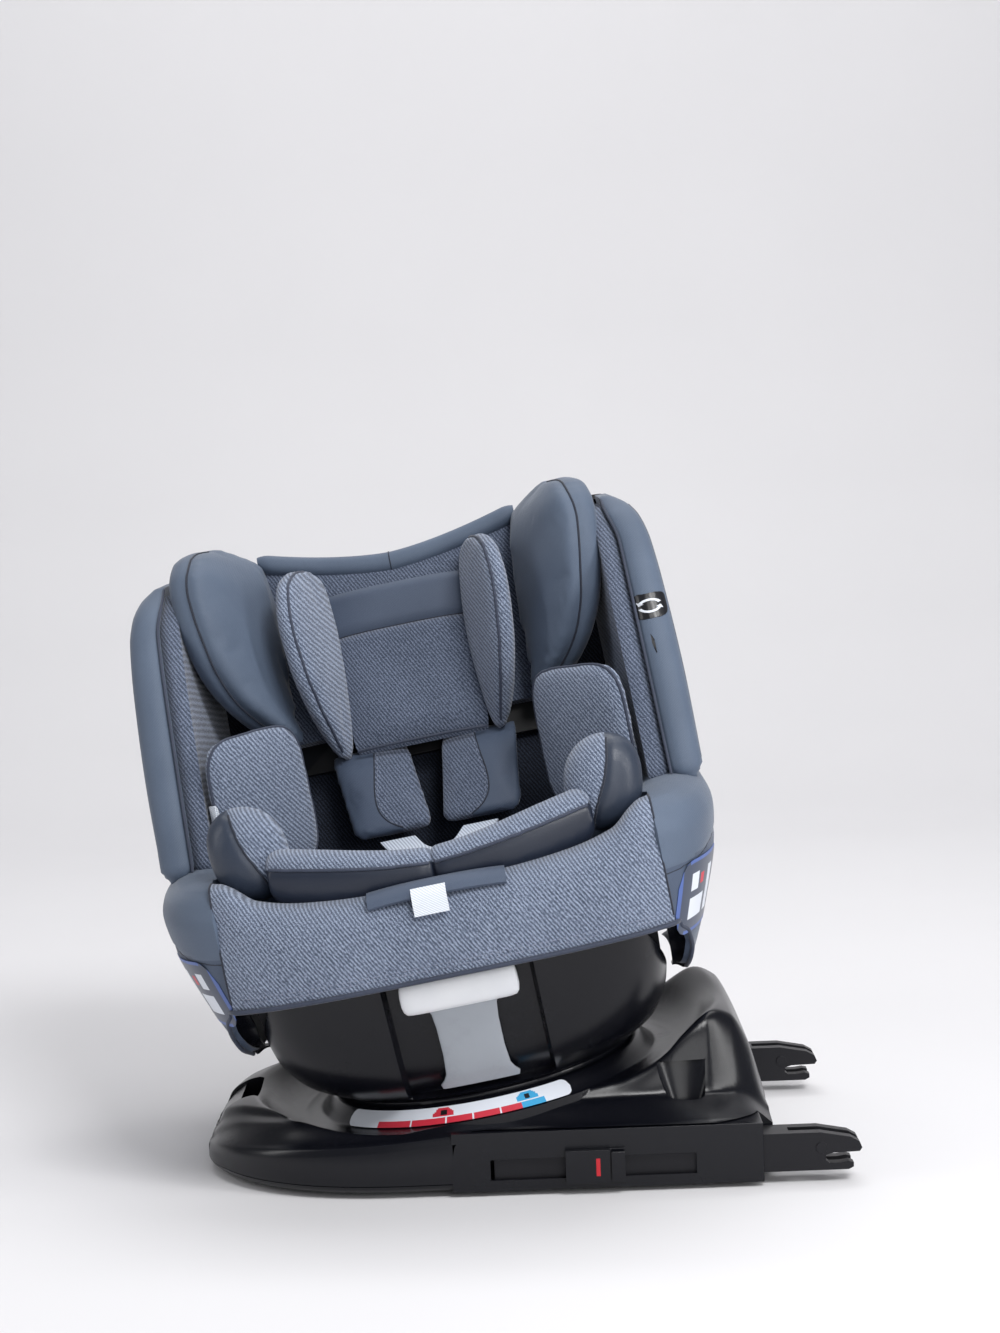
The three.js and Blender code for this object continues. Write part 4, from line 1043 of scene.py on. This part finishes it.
def make_rim():
    """Rolled top edge of the headrest, dipping in the middle, and the textured panel below it."""
    rings = []
    for x in np.linspace(-117, 117, 70):
        rise = 19 * (abs(x) / 104) ** 1.6
        pinch = 1 - 0.3 * max(0, (abs(x) - 105) / 12) ** 2
        ring = oblong(9.6 * pinch, 11.5 * pinch, 2.3, 28)
        rings.append(np.stack([np.full(28, x), ring[:, 1] - 12.5, ring[:, 0] + HEADREST_HIGH + rise], 1))
    rim = loft("headrest_rim", rings, BACK, [KNIT], "headrest", 60)
    ring = [(0, -12.5 + 11.7 * math.sin(a), HEADREST_HIGH + 9.8 * math.cos(a)) for a in np.linspace(-2.6, 0.4, 14)]
    tube("rim_seam", [BACK @ Vector(p) for p in ring], 0.6, DARK_THREAD, "headrest", surface=rim)
    panel = []
    for z in np.linspace(0, 1, 40):
        row = []
        for x in np.linspace(-112, 112, 60):
            top = 328 + 19 * (abs(x) / 104) ** 1.6
            edge = 4 * (abs(x) / 112) ** 4
            row.append((x, -18.5 + edge - 2.5 * math.sin(math.pi * z) * (1 - (x / 112) ** 2), 186 + (top - 186) * z))
        panel.append(row)
    pad = slab("headrest_panel", panel, 12.5, (0, 60, 240), BACK, [TWILL_DEEP], "headrest", 60)
    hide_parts("headrest_pad")


def hugger_outline(z):
    """Half width of the head pad at a height: it spreads towards its top."""
    return float(np.interp(z, [160, 170, 220, 270, 311], [56, 59, 61.5, 62.5, 62]))


def make_hugger():
    grid = []
    for z in [162, 163.2, 165.5, 169, *np.linspace(174, 262, 34), 266, 268.4, 270.2, 272, 274.5, *np.linspace(279, 304, 12), 307, 309.4, 311]:
        row = []
        half = hugger_outline(z)
        for u in np.linspace(-1, 1, 60):
            low = ease(161, 185, z)
            puff = 9.5 * (1 - abs(u) ** 3.2) * (0.35 + 0.65 * low) * (1 if z < 270 else 0.72)
            fold = 3.8 * math.exp(-(((z - 270.2) / 3.2) ** 2))
            top = 5 * max(0, (z - 303) / 8) ** 2
            edge = 6 * max(0, (171 - z) / 9) ** 2
            row.append((half * u, -31 - puff + fold + top + edge, z))
        grid.append(row)
    pad = slab("hugger_cushion", grid, 11, (0, 60, 240), BACK, [TWILL_DEEP, BAND], "headrest", 70)
    # Faces above the seam at z 270 get the band knit, whose darker tone is painted shade
    paint(pad, BACK, lambda p: 1 if p.z > 270 else 0)
    line = laid(pad, [BACK @ Vector((x, -60, 270.3)) for x in np.linspace(-58, 58, 24)], BACK)
    tube("hugger_seam", line, 0.7, DARK_THREAD, "headrest")
    foot = [BACK @ Vector((x, -36.5 - 4.5 * (1 - abs(x / 58) ** 3), 163.2)) for x in np.linspace(-57, 57, 20)]
    tube("hugger_piping", foot, 1.3, BINDING, "headrest")
    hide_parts("hugger_pad")


def ear_frame(z):
    rise = z - HEADREST_LOW
    reach, thick = float(EAR_REACH(rise)), float(EAR_THICK(rise)) * 0.84
    return (67, -26), (67 + 23 * reach, -26 - 76 * reach), thick


def make_ear(name, side):
    rings = []
    for z in [160.3, 161.2, *np.linspace(163, 318, 46), 321.5, 324.5, 327, 328.8, 330]:
        root, tip, thick = ear_frame(z)
        rings.append(leaf_ring((root[0] + 0.5, root[1] - thick * 0.15), tip, thick, z))
    frame_ = sided(BACK, side)
    ear = loft(f"hugger_ear_{name}", rings, frame_, [TWILL], "headrest", 60)
    seam = []
    for z in np.linspace(163, 329, 40):
        root, tip, thick = ear_frame(z)
        run = np.array(tip) - np.array(root)
        run /= np.linalg.norm(run)
        across = np.array([-run[1], run[0]])
        point = np.array(tip) + run * thick * 0.42 - across * thick * 0.30
        seam.append(frame_ @ Vector((point[0], point[1], z)))
    stuff(ear, cap=4, pressure=3.0, pin=seam)
    groove(ear, seam, 3.5, 1.4)
    tube(f"ear_piping_{name}", seam, 1.25, BINDING, "headrest", surface=ear, lift=0.2)
    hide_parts(f"hugger_ear_{name}")
    return ear


# ---------- harness ----------
def make_shoulder_pad(name, side):
    rings = []
    for z in [84, 84.8, 86.5, 89, *np.linspace(92, 166, 30), 168, 169.5, 170]:
        x, y = np.interp(z, [84, 115, 145, 170], [38, 42, 46, 49]), np.interp(z, [84, 115, 145, 156, 170], [-41, -34, -28, -24, -13])
        half = np.interp(z, [84, 88, 92, 160, 170], [29, 33, 34.5, 34.5, 33])
        thick = np.interp(z, [84, 150, 165, 170], [8.6, 8.6, 6.5, 5.5]) * min(1, 0.25 + abs(z - 84) / 6, 0.25 + abs(170 - z) / 6)
        ring = oblong(half, thick, 2.7, 64)
        rings.append(np.stack([ring[:, 0] + x, ring[:, 1] + y, np.full(64, z)], 1))
    frame_ = sided(BACK, side)
    pad = loft(f"shoulder_pad_cover_{name}", rings, frame_, [TWILL_DEEP, PANEL], "headrest", 60)
    stuff(pad, cap=3, voxel=3.5, pressure=2.5)
    split = [frame_ @ Vector((x, -60, z)) for x, z in ((44, 166), (46, 145), (49, 122), (48, 106), (41, 94), (30, 87))]
    paint(pad, frame_, lambda p: 1 if p.x > np.interp(p.z, [87, 94, 106, 122, 145, 166], [30, 41, 48, 49, 46, 44]) else 0)
    line = [Vector(p) for p in laid(pad, split, frame_)]
    tube(f"shoulder_pad_seam_{name}", line, 0.6, DARK_THREAD, "headrest", surface=pad)
    stitches(f"shoulder_pad_stitch_{name}", [p + (frame_.to_3x3() @ Vector((-2.6, 0, 0))) for p in line], pad, THREAD, "headrest",
             2.6, 1.4, 0.32)
    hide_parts(f"shoulder_pad_{name}")


def laid(obj, world_points, matrix):
    """Points dropped onto obj along the matrix's +Y direction."""
    ahead = (matrix.to_3x3() @ Vector((0, 1, 0))).normalized()
    tree, found = tree_of(obj), []
    for p in world_points:
        hit = tree.ray_cast(p - ahead * 0.3, ahead)[0]
        found.append(hit if hit else tree.find_nearest(p)[0])
    return found


def make_strap(name, points, width, thick, matrix, material, body):
    line = smooth(points, 40)
    grid = []
    for p in line:
        grid.append([(p[0] + width * u / 2, p[1], p[2]) for u in np.linspace(-1, 1, 9)])
    return slab(name, grid, thick, (0, 60, 0), matrix, [material], body, 50)


# ---------- cushions ----------
def plump(name, rings, frame_, material, body, pin, cap=5, voxel=4.2, pressure=3.5):
    piece = loft(name, rings, frame_, material, body, 60)
    return stuff(piece, cap=cap, voxel=voxel, pressure=pressure, pin=pin)


def make_torso_pad(name, side):
    frame_ = sided(SWIVEL, side) @ Matrix.Translation((138, -10, 254)) @ Matrix.Rotation(-0.72, 4, "Z")
    rings = cushion_rings(49, 60, 12.5, (0, 0, 0), 3.6, 0.34, 72, 30)
    edge = []
    for a in np.linspace(0, 2 * math.pi, 49)[:-1]:
        c, s = math.cos(a), math.sin(a)
        edge.append(frame_ @ Vector((49.4 * np.sign(c) * abs(c) ** 0.55, -2, 60 * np.sign(s) * abs(s) ** 0.55)))
    pad = plump(f"torso_cushion_{name}", rings, frame_, [TWILL], "seat", edge + [edge[0]])
    tube(f"torso_piping_{name}", edge, 1.3, BINDING, "seat", closed=True, surface=pad, lift=0.2)
    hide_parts(f"torso_pad_{name}")
    return pad


def make_knob(name, side):
    """Rounded end of the insert's front roll."""
    frame_ = sided(SWIVEL, side)
    rings = []
    for k in np.linspace(-1, 1, 34):
        a = math.sin(k * math.pi / 2)
        swell = (1 - abs(a) ** 2.5) ** 0.5
        ring = oblong(max(31.5 * swell, 2), max(24.5 * swell, 1.5), 2.2, 56)
        lean = 8 * (a + 1) / 2
        rings.append(np.stack([ring[:, 0] + 143 + lean - 5, ring[:, 1] - 132 + 3 * a, np.full(56, 231 + 38 * a)], 1))
    seam = [(151, -200, 266), (148, -200, 252), (143, -200, 236), (136, -200, 222), (130, -200, 208), (127, -200, 196)]
    piece = loft(f"insert_knob_{name}", rings, frame_, [HIDE_SOFT, TWILL], "seat", 60)
    line = laid(piece, [frame_ @ Vector(p) for p in seam], frame_)
    stuff(piece, cap=4, voxel=4, pressure=3, pin=line)
    groove(piece, line, 3.5, 1.4)
    paint(piece, frame_, lambda p: 0 if p.x > np.interp(p.z, [196, 208, 222, 236, 252, 266], [127, 130, 136, 143, 148, 151]) else 1)
    tube(f"knob_piping_{name}", line, 0.9, DARK_THREAD, "seat", surface=piece, lift=0.1)
    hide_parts(f"insert_corner_{name}")
    return piece


def make_front_roll(name, side):
    """Front roll of the insert: textured top, dark coated face below the piping."""
    frame_ = sided(SWIVEL, side)
    rings = []
    for t in np.linspace(0, 1, 44):
        x = 130 * t - 1.5
        z = 203.5 + 10 * t**2
        tall = (16.5 + 6.5 * ease(0, 0.8, t)) * (1 - 0.08 * max(0, (0.05 - t) / 0.05) ** 2) * (1 - 0.35 * max(0, (t - 0.92) / 0.08) ** 2)
        deep = (17 + 5 * t) * (1 - 0.4 * max(0, (0.06 - t) / 0.06) ** 2)
        y = -166 + 22 * t**2.4 * 0.9
        ring = oblong(deep, tall, 2.6, 52)
        rings.append(np.stack([np.full(52, x), ring[:, 0] + y, ring[:, 1] + z - 7 + 5 * t], 1))
    piece = loft(f"insert_roll_{name}", rings, frame_, [TWILL, HIDE], "seat", 60)
    seam = []
    for t in np.linspace(0.02, 0.99, 20):
        x = 130 * t - 1.5
        y, deep, tall = -166 + 19.8 * t**2.4, 17 + 5 * t, 16.5 + 6.5 * ease(0, 0.8, t)
        seam.append(frame_ @ Vector((x, y - deep * 0.97, 203.5 + 10 * t**2 - 7 + 5 * t + tall * 0.42)))
    stuff(piece, cap=3.5, voxel=4, pressure=3, pin=seam)
    groove(piece, seam, 3, 1.2)
    back = frame_.inverted()
    line = np.array([tuple(back @ p) for p in seam])
    paint(piece, frame_, lambda p: 1 if p.z < np.interp(p.x, line[:, 0], line[:, 2]) and p.y < -150 else 0)
    tube(f"roll_piping_{name}", seam, 1.3, BINDING, "seat", surface=piece, lift=0.3)
    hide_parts(f"insert_front_{name}")
    return piece


def make_seat_pads():
    top = [(-158, 162), (-120, 157), (-70, 150), (0, 140), (52, 138)]
    low = [(-158, 149), (-120, 141), (-70, 131.5), (0, 122), (52, 119)]
    rings = []
    for t in np.linspace(0, 1, 30):
        y = -158 + 210 * t
        high, bottom = np.interp(y, *zip(*top)), np.interp(y, *zip(*low))
        edge = 1 - 0.55 * max(0, (0.06 - t) / 0.06) ** 2 - 0.55 * max(0, (t - 0.94) / 0.06) ** 2
        ring = oblong(171, (high - bottom) / 2 * edge, 6, 90)
        rings.append(np.stack([ring[:, 0], np.full(90, y), ring[:, 1] + (high + bottom) / 2], 1))
    seat = loft("seat_cushion", rings, SWIVEL, [LINING], "seat", 60)
    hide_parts("seat_pad")
    rings = []
    for t in np.linspace(0, 1, 34):
        y = -134 + 164 * t
        mid = np.interp(y, [-134, -70, 0, 30], [167, 162, 154, 154])
        edge = 1 - 0.7 * max(0, (0.06 - t) / 0.06) ** 2 - 0.7 * max(0, (t - 0.94) / 0.06) ** 2
        ring = oblong(128, 6.4 * edge, 4, 90)
        crown = 3 * np.cos(ring[:, 0] / 128 * math.pi / 2)
        rings.append(np.stack([ring[:, 0], np.full(90, y), ring[:, 1] + mid + crown * edge], 1))
    insert = loft("insert_cushion", rings, SWIVEL, [TWILL_DEEP], "seat", 60)
    stuff(insert, cap=3, voxel=5, pressure=2, pin=None)
    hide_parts("insert_seat_pad")
    back = []
    for z in np.linspace(35, 303, 46):
        half = 156 + 16 * ease(62, 72, z)
        row = []
        for u in np.linspace(-1, 1, 60):
            row.append((half * u, 5.5 + 1.5 * abs(u) ** 6 - 1.2 * math.cos(u * math.pi / 2), z))
        back.append(row)
    panel = slab("back_cushion", back, 20, (0, 100, 170), BACK, [LINING], "seat", 60)
    carve(panel, [([(x - 6.5, -20, z) for z in (168, 310)] + [(x + 6.5, -20, z) for z in (310, 168)],
                   [(x - 6.5, 60, z) for z in (168, 310)] + [(x + 6.5, 60, z) for z in (310, 168)]) for x in (-56, 56)], BACK)
    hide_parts("back_pad")


# ---------- small pieces ----------
def make_labels(skirt, wings, covers):
    tag = make_strap("fabric_tag", [(-6, -200.0, 189), (-6, -206.6, 184.5), (-6, -209.4, 178), (-6, -210.6, 169)], 27, 1.2, SWIVEL, TAG, "seat")
    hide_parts("adjuster_strap")
    flap = []
    for y, z in smooth([(-184, 191, 0), (-192, 190.2, 0), (-199, 186.6, 0), (-203.6, 181.5, 0)], 24)[:, :2]:
        flap.append([(x, y - 1.0 * math.cos(x / 54 * math.pi / 2), z + 1.6 - 2.4 * abs(x / 54) ** 2.4) for x in np.linspace(-54, 54, 48)])
    cover = slab("adjuster_cover", flap, 3, (0, -150, 150), SWIVEL, [PANEL], "seat", 60)
    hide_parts("adjuster_flap")
    make_badge(wings[0])
    frame_ = sided(SWIVEL, -1)
    loop = patch("torso_loop_tag", wings[3], (175.5, -60, 246), (11, 34), frame_, [TAG], "seat", 1.6, 5)
    for name, side, cover_ in (("left", 1, covers[0]), ("right", -1, covers[1])):
        make_sticker(name, side, cover_)


def make_badge(wing):
    """Black rounded badge on the wing's front band with two arrows chasing round an oval."""
    patch("wing_badge", wing, (211, -100, 349.5), (28, 20), SWIVEL, [DARK_FILM], "seat", 0.5, 5)
    for i, start in enumerate((0.35, 0.35 + math.pi)):
        outer = [(211 + 10.2 * math.cos(a), 349.5 + 5.6 * math.sin(a)) for a in np.linspace(start, start + 2.2, 16)]
        inner = [(211 + 7.6 * math.cos(a), 349.5 + 3.9 * math.sin(a)) for a in np.linspace(start, start + 2.2, 16)]
        strip("badge_arrow_%d" % i, wing, outer, inner, SWIVEL, WHITE_FILM, "seat")
        a = start + 2.2
        head = [(211 + r * math.cos(a), 349.5 + r * 0.54 * math.sin(a)) for r in (12.4, 5.6)]
        tip = (211 + 8.9 * math.cos(a + 0.5), 349.5 + 4.9 * math.sin(a + 0.5))
        strip("badge_head_%d" % i, wing, [head[0], tip], [head[1], tip], SWIVEL, WHITE_FILM, "seat")


def strip(name, surface, first, second, matrix, material, body, lift=0.8):
    """A flat mark between two outlines of equal length, laid on a surface seen from the front."""
    ahead = (matrix.to_3x3() @ Vector((0, 1, 0))).normalized()
    tree, grid = tree_of(surface), []
    for a, b in zip(first, second):
        row = []
        for t in np.linspace(0, 1, 5):
            p = matrix @ Vector((a[0] * (1 - t) + b[0] * t, -150, a[1] * (1 - t) + b[1] * t))
            hit, normal = tree.ray_cast(p, ahead)[:2]
            if hit is None:
                hit, normal = tree.find_nearest(p)[:2]
            row.append(tuple(hit + normal * lift * 0.001))
        grid.append(row)
    far = Vector(grid[0][0]) + ahead
    return slab(name, grid, 0.0003, tuple(far), Matrix(), [material], body, 60)


def make_sticker(name, side, cover):
    """Care label on the side panel: pale film with plain blocks and a blue border."""
    grid = []
    for v in np.linspace(0, 1, 22):
        z = 104 + 56 * v
        row = []
        for u in np.linspace(0, 1, 26):
            end = min(u, 1 - u) / 0.16
            squeeze = math.sqrt(max(0.0, 1 - (1 - min(end, 1)) ** 2)) if end < 1 else 1
            zz = 132 + (z - 132) * (0.35 + 0.65 * squeeze)
            x, y, _ = cover_point(zz, y=-172 + 84 * u)
            row.append((x + 0.5, y - 0.4, zz))
        grid.append(row)
    frame_ = sided(SWIVEL, side)
    label = slab(f"side_label_{name}", grid, 0.4, (0, 0, 130), frame_, [PANEL_FILM, WHITE_FILM, EDGE_FILM, RED_FILM], "seat", 60)

    def face(p):
        u, v = (p.y + 172) / 84, (p.z - 104) / 56
        if u < 0.035 or v < 0.04 or v > 0.96:
            return 2
        if 0.14 < u < 0.42 and 0.18 < v < 0.46 or 0.50 < u < 0.66 and 0.18 < v < 0.80:
            return 1
        if 0.16 < u < 0.28 and 0.56 < v < 0.82:
            return 1
        return 3 if 0.30 < u < 0.40 and 0.60 < v < 0.76 else 0

    paint(label, frame_, face)


def patch(name, surface, centre, size, matrix, material, body, lift=0.4, power=6, turn=0.0, steps=26):
    """A thin rounded label laid on a surface seen from the front."""
    grid, half_w, half_h = [], size[0] / 2, size[1] / 2
    points = []
    for v in np.linspace(-1, 1, steps):
        wide = half_w * (1 - abs(v) ** power) ** (1 / power) if abs(v) < 1 else half_w * 0.55
        for u in np.linspace(-1, 1, steps):
            dx, dz = wide * u, half_h * v
            points.append(matrix @ Vector((centre[0] + dx * math.cos(turn) - dz * math.sin(turn), centre[1],
                                           centre[2] + dx * math.sin(turn) + dz * math.cos(turn))))
    ahead = (matrix.to_3x3() @ Vector((0, 1, 0))).normalized()
    tree = tree_of(surface)
    for p in points:
        hit, normal = tree.ray_cast(p - ahead * 0.3, ahead)[:2]
        if hit is None:
            hit, normal = tree.find_nearest(p)[:2]
        grid.append(tuple(hit + normal * lift * 0.001))
    grid = np.array(grid).reshape(steps, steps, 3)
    far = Vector(grid[steps // 2, steps // 2]) + ahead
    return slab(name, grid, lift * 0.0008, tuple(far), Matrix(), material, body, 60)


# ---------- assembly ----------
def dress(node, material, width=0.8, slot=None):
    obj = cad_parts[node]
    obj.data.materials.clear()
    obj.data.materials.append(material)
    bevel(obj, width)


def build():
    make_camera()
    make_base()
    ring_label()
    make_cradle()
    make_handle()
    covers = [make_side_cover("left", 1), make_side_cover("right", -1)]
    skirt = make_skirt()
    trim_cover(skirt, covers)
    wings = [make_wing("left", 1), make_wing("right", -1)]
    make_back_shell()
    make_rim()
    make_hugger()
    for name, side in (("left", 1), ("right", -1)):
        make_bolster(name, side)
        make_ear(name, side)
    for name, side in (("left", 1), ("right", -1)):
        make_shoulder_pad(name, side)
        strap = make_strap(f"shoulder_web_{name}", [(side * 36, 24, 196), (side * 28, -2, 191), (side * 19, -26, 189.5), (side * 17, -40, 188)],
                           30, 1.6, SWIVEL, WEB, "seat")
        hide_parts(f"shoulder_strap_{name}")
        wings.append(make_torso_pad(name, side))
        make_knob(name, side)
        make_front_roll(name, side)
    make_seat_pads()
    make_labels(skirt, wings, covers)
    for name, side in (("near", -1), ("far", 1)):
        mark = [[(86.5 + 1.6 * u, side * 165.2, 21.5 + 7 * v) for v in np.linspace(-1, 1, 7)] for u in np.linspace(-1, 1, 5)]
        slab(f"slider_mark_{name}", mark, 0.5, (86, 0, 21), BASE, [RED], "anchor_carriage")


build()
NODE_LOOKS = {
    "base_bottom_plate": BLACK_DEEP, "rail_cover_near": BLACK, "rail_cover_far": BLACK, "anchor_arm_near": BLACK_STEEL,
    "anchor_arm_far": BLACK_STEEL, "latch_hook_near": STEEL, "latch_hook_far": STEEL, "arm_slider_near": BLACK,
    "arm_slider_far": BLACK, "release_button_near": BLACK, "release_button_far": BLACK, "arm_crossbar": STEEL,
    "turntable": BLACK, "swivel_bolt": STEEL, "swivel_release_paddle": BLACK, "housing_screw_near": STEEL,
    "housing_screw_far": STEEL, "grip_strip_near": RUBBER, "grip_strip_middle": RUBBER, "grip_strip_far": RUBBER,
    "seat_shell": BLACK_DEEP, "headrest_shell": BLACK_DEEP, "headrest_carrier": STEEL, "headrest_release_handle": GREY,
    "buckle_housing": BLACK, "buckle_button": RED, "buckle_tongue": STEEL, "adjuster_button": STEEL, "crotch_strap": WEB,
}
for node, look in NODE_LOOKS.items():
    dress(node, look)

floor = bpy.data.meshes.new("floor")
floor_grid = []
for y, z in smooth([(-6, 0, 0), (-2, 0, 0), (1.2, 0, 0), (2.2, 0.02, 0), (2.9, 0.5, 0), (3.1, 1.6, 0), (3.1, 5, 0)], 40)[:, :2]:
    floor_grid.append([(x, y, z) for x in (-7, -3, 3, 7)])
floor_grid = np.array(floor_grid)
floor.from_pydata(floor_grid.reshape(-1, 3).tolist(), [], grid_faces(len(floor_grid), 4, False))
backdrop = bpy.data.objects.new("backdrop", floor)
bpy.context.collection.objects.link(backdrop)
for poly in floor.polygons:
    poly.use_smooth = True
paper = Shader("paper", Roughness=0.9, Specular_IOR_Level=0.1)
paper.color(paper.mix(paper.noise(3, 2), rgb(222, 221, 223), rgb(225, 224, 226)))
floor.materials.append(paper.mat)
backdrop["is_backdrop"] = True

area_light("key", (0.8, -1.6, 2.2), (0, 0, 0.3), (0.9, 0.8), 42)
area_light("front", (0.9, -3.0, 0.9), (0, 0, 0.3), (1.6, 1.2), 20)
area_light("strip", (1.9, -1.1, 1.0), (0, 0, 0.2), (0.30, 1.7), 20)
area_light("edge", (-2.0, -0.6, 1.1), (0, 0, 0.25), (0.4, 1.6), 10)
area_light("top", (0.2, 0.5, 2.6), (0, 0, 0.2), (2.0, 1.4), 20)
area_light("paper", (0, 1.6, 3.2), (0, 3.0, 0.8), (4.0, 1.2), 46)
world = bpy.data.worlds.new("studio")
world.use_nodes = True
world.node_tree.nodes["Background"].inputs[0].default_value = (0.93, 0.95, 1.0, 1)
world.node_tree.nodes["Background"].inputs[1].default_value = 0.23
bpy.context.scene.world = world
bpy.context.scene.view_settings.view_transform = "Standard"

listed = lambda box: [[float(v) for v in corner] for corner in box]
{"cad": listed(cad_box), "visual": listed(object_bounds())}
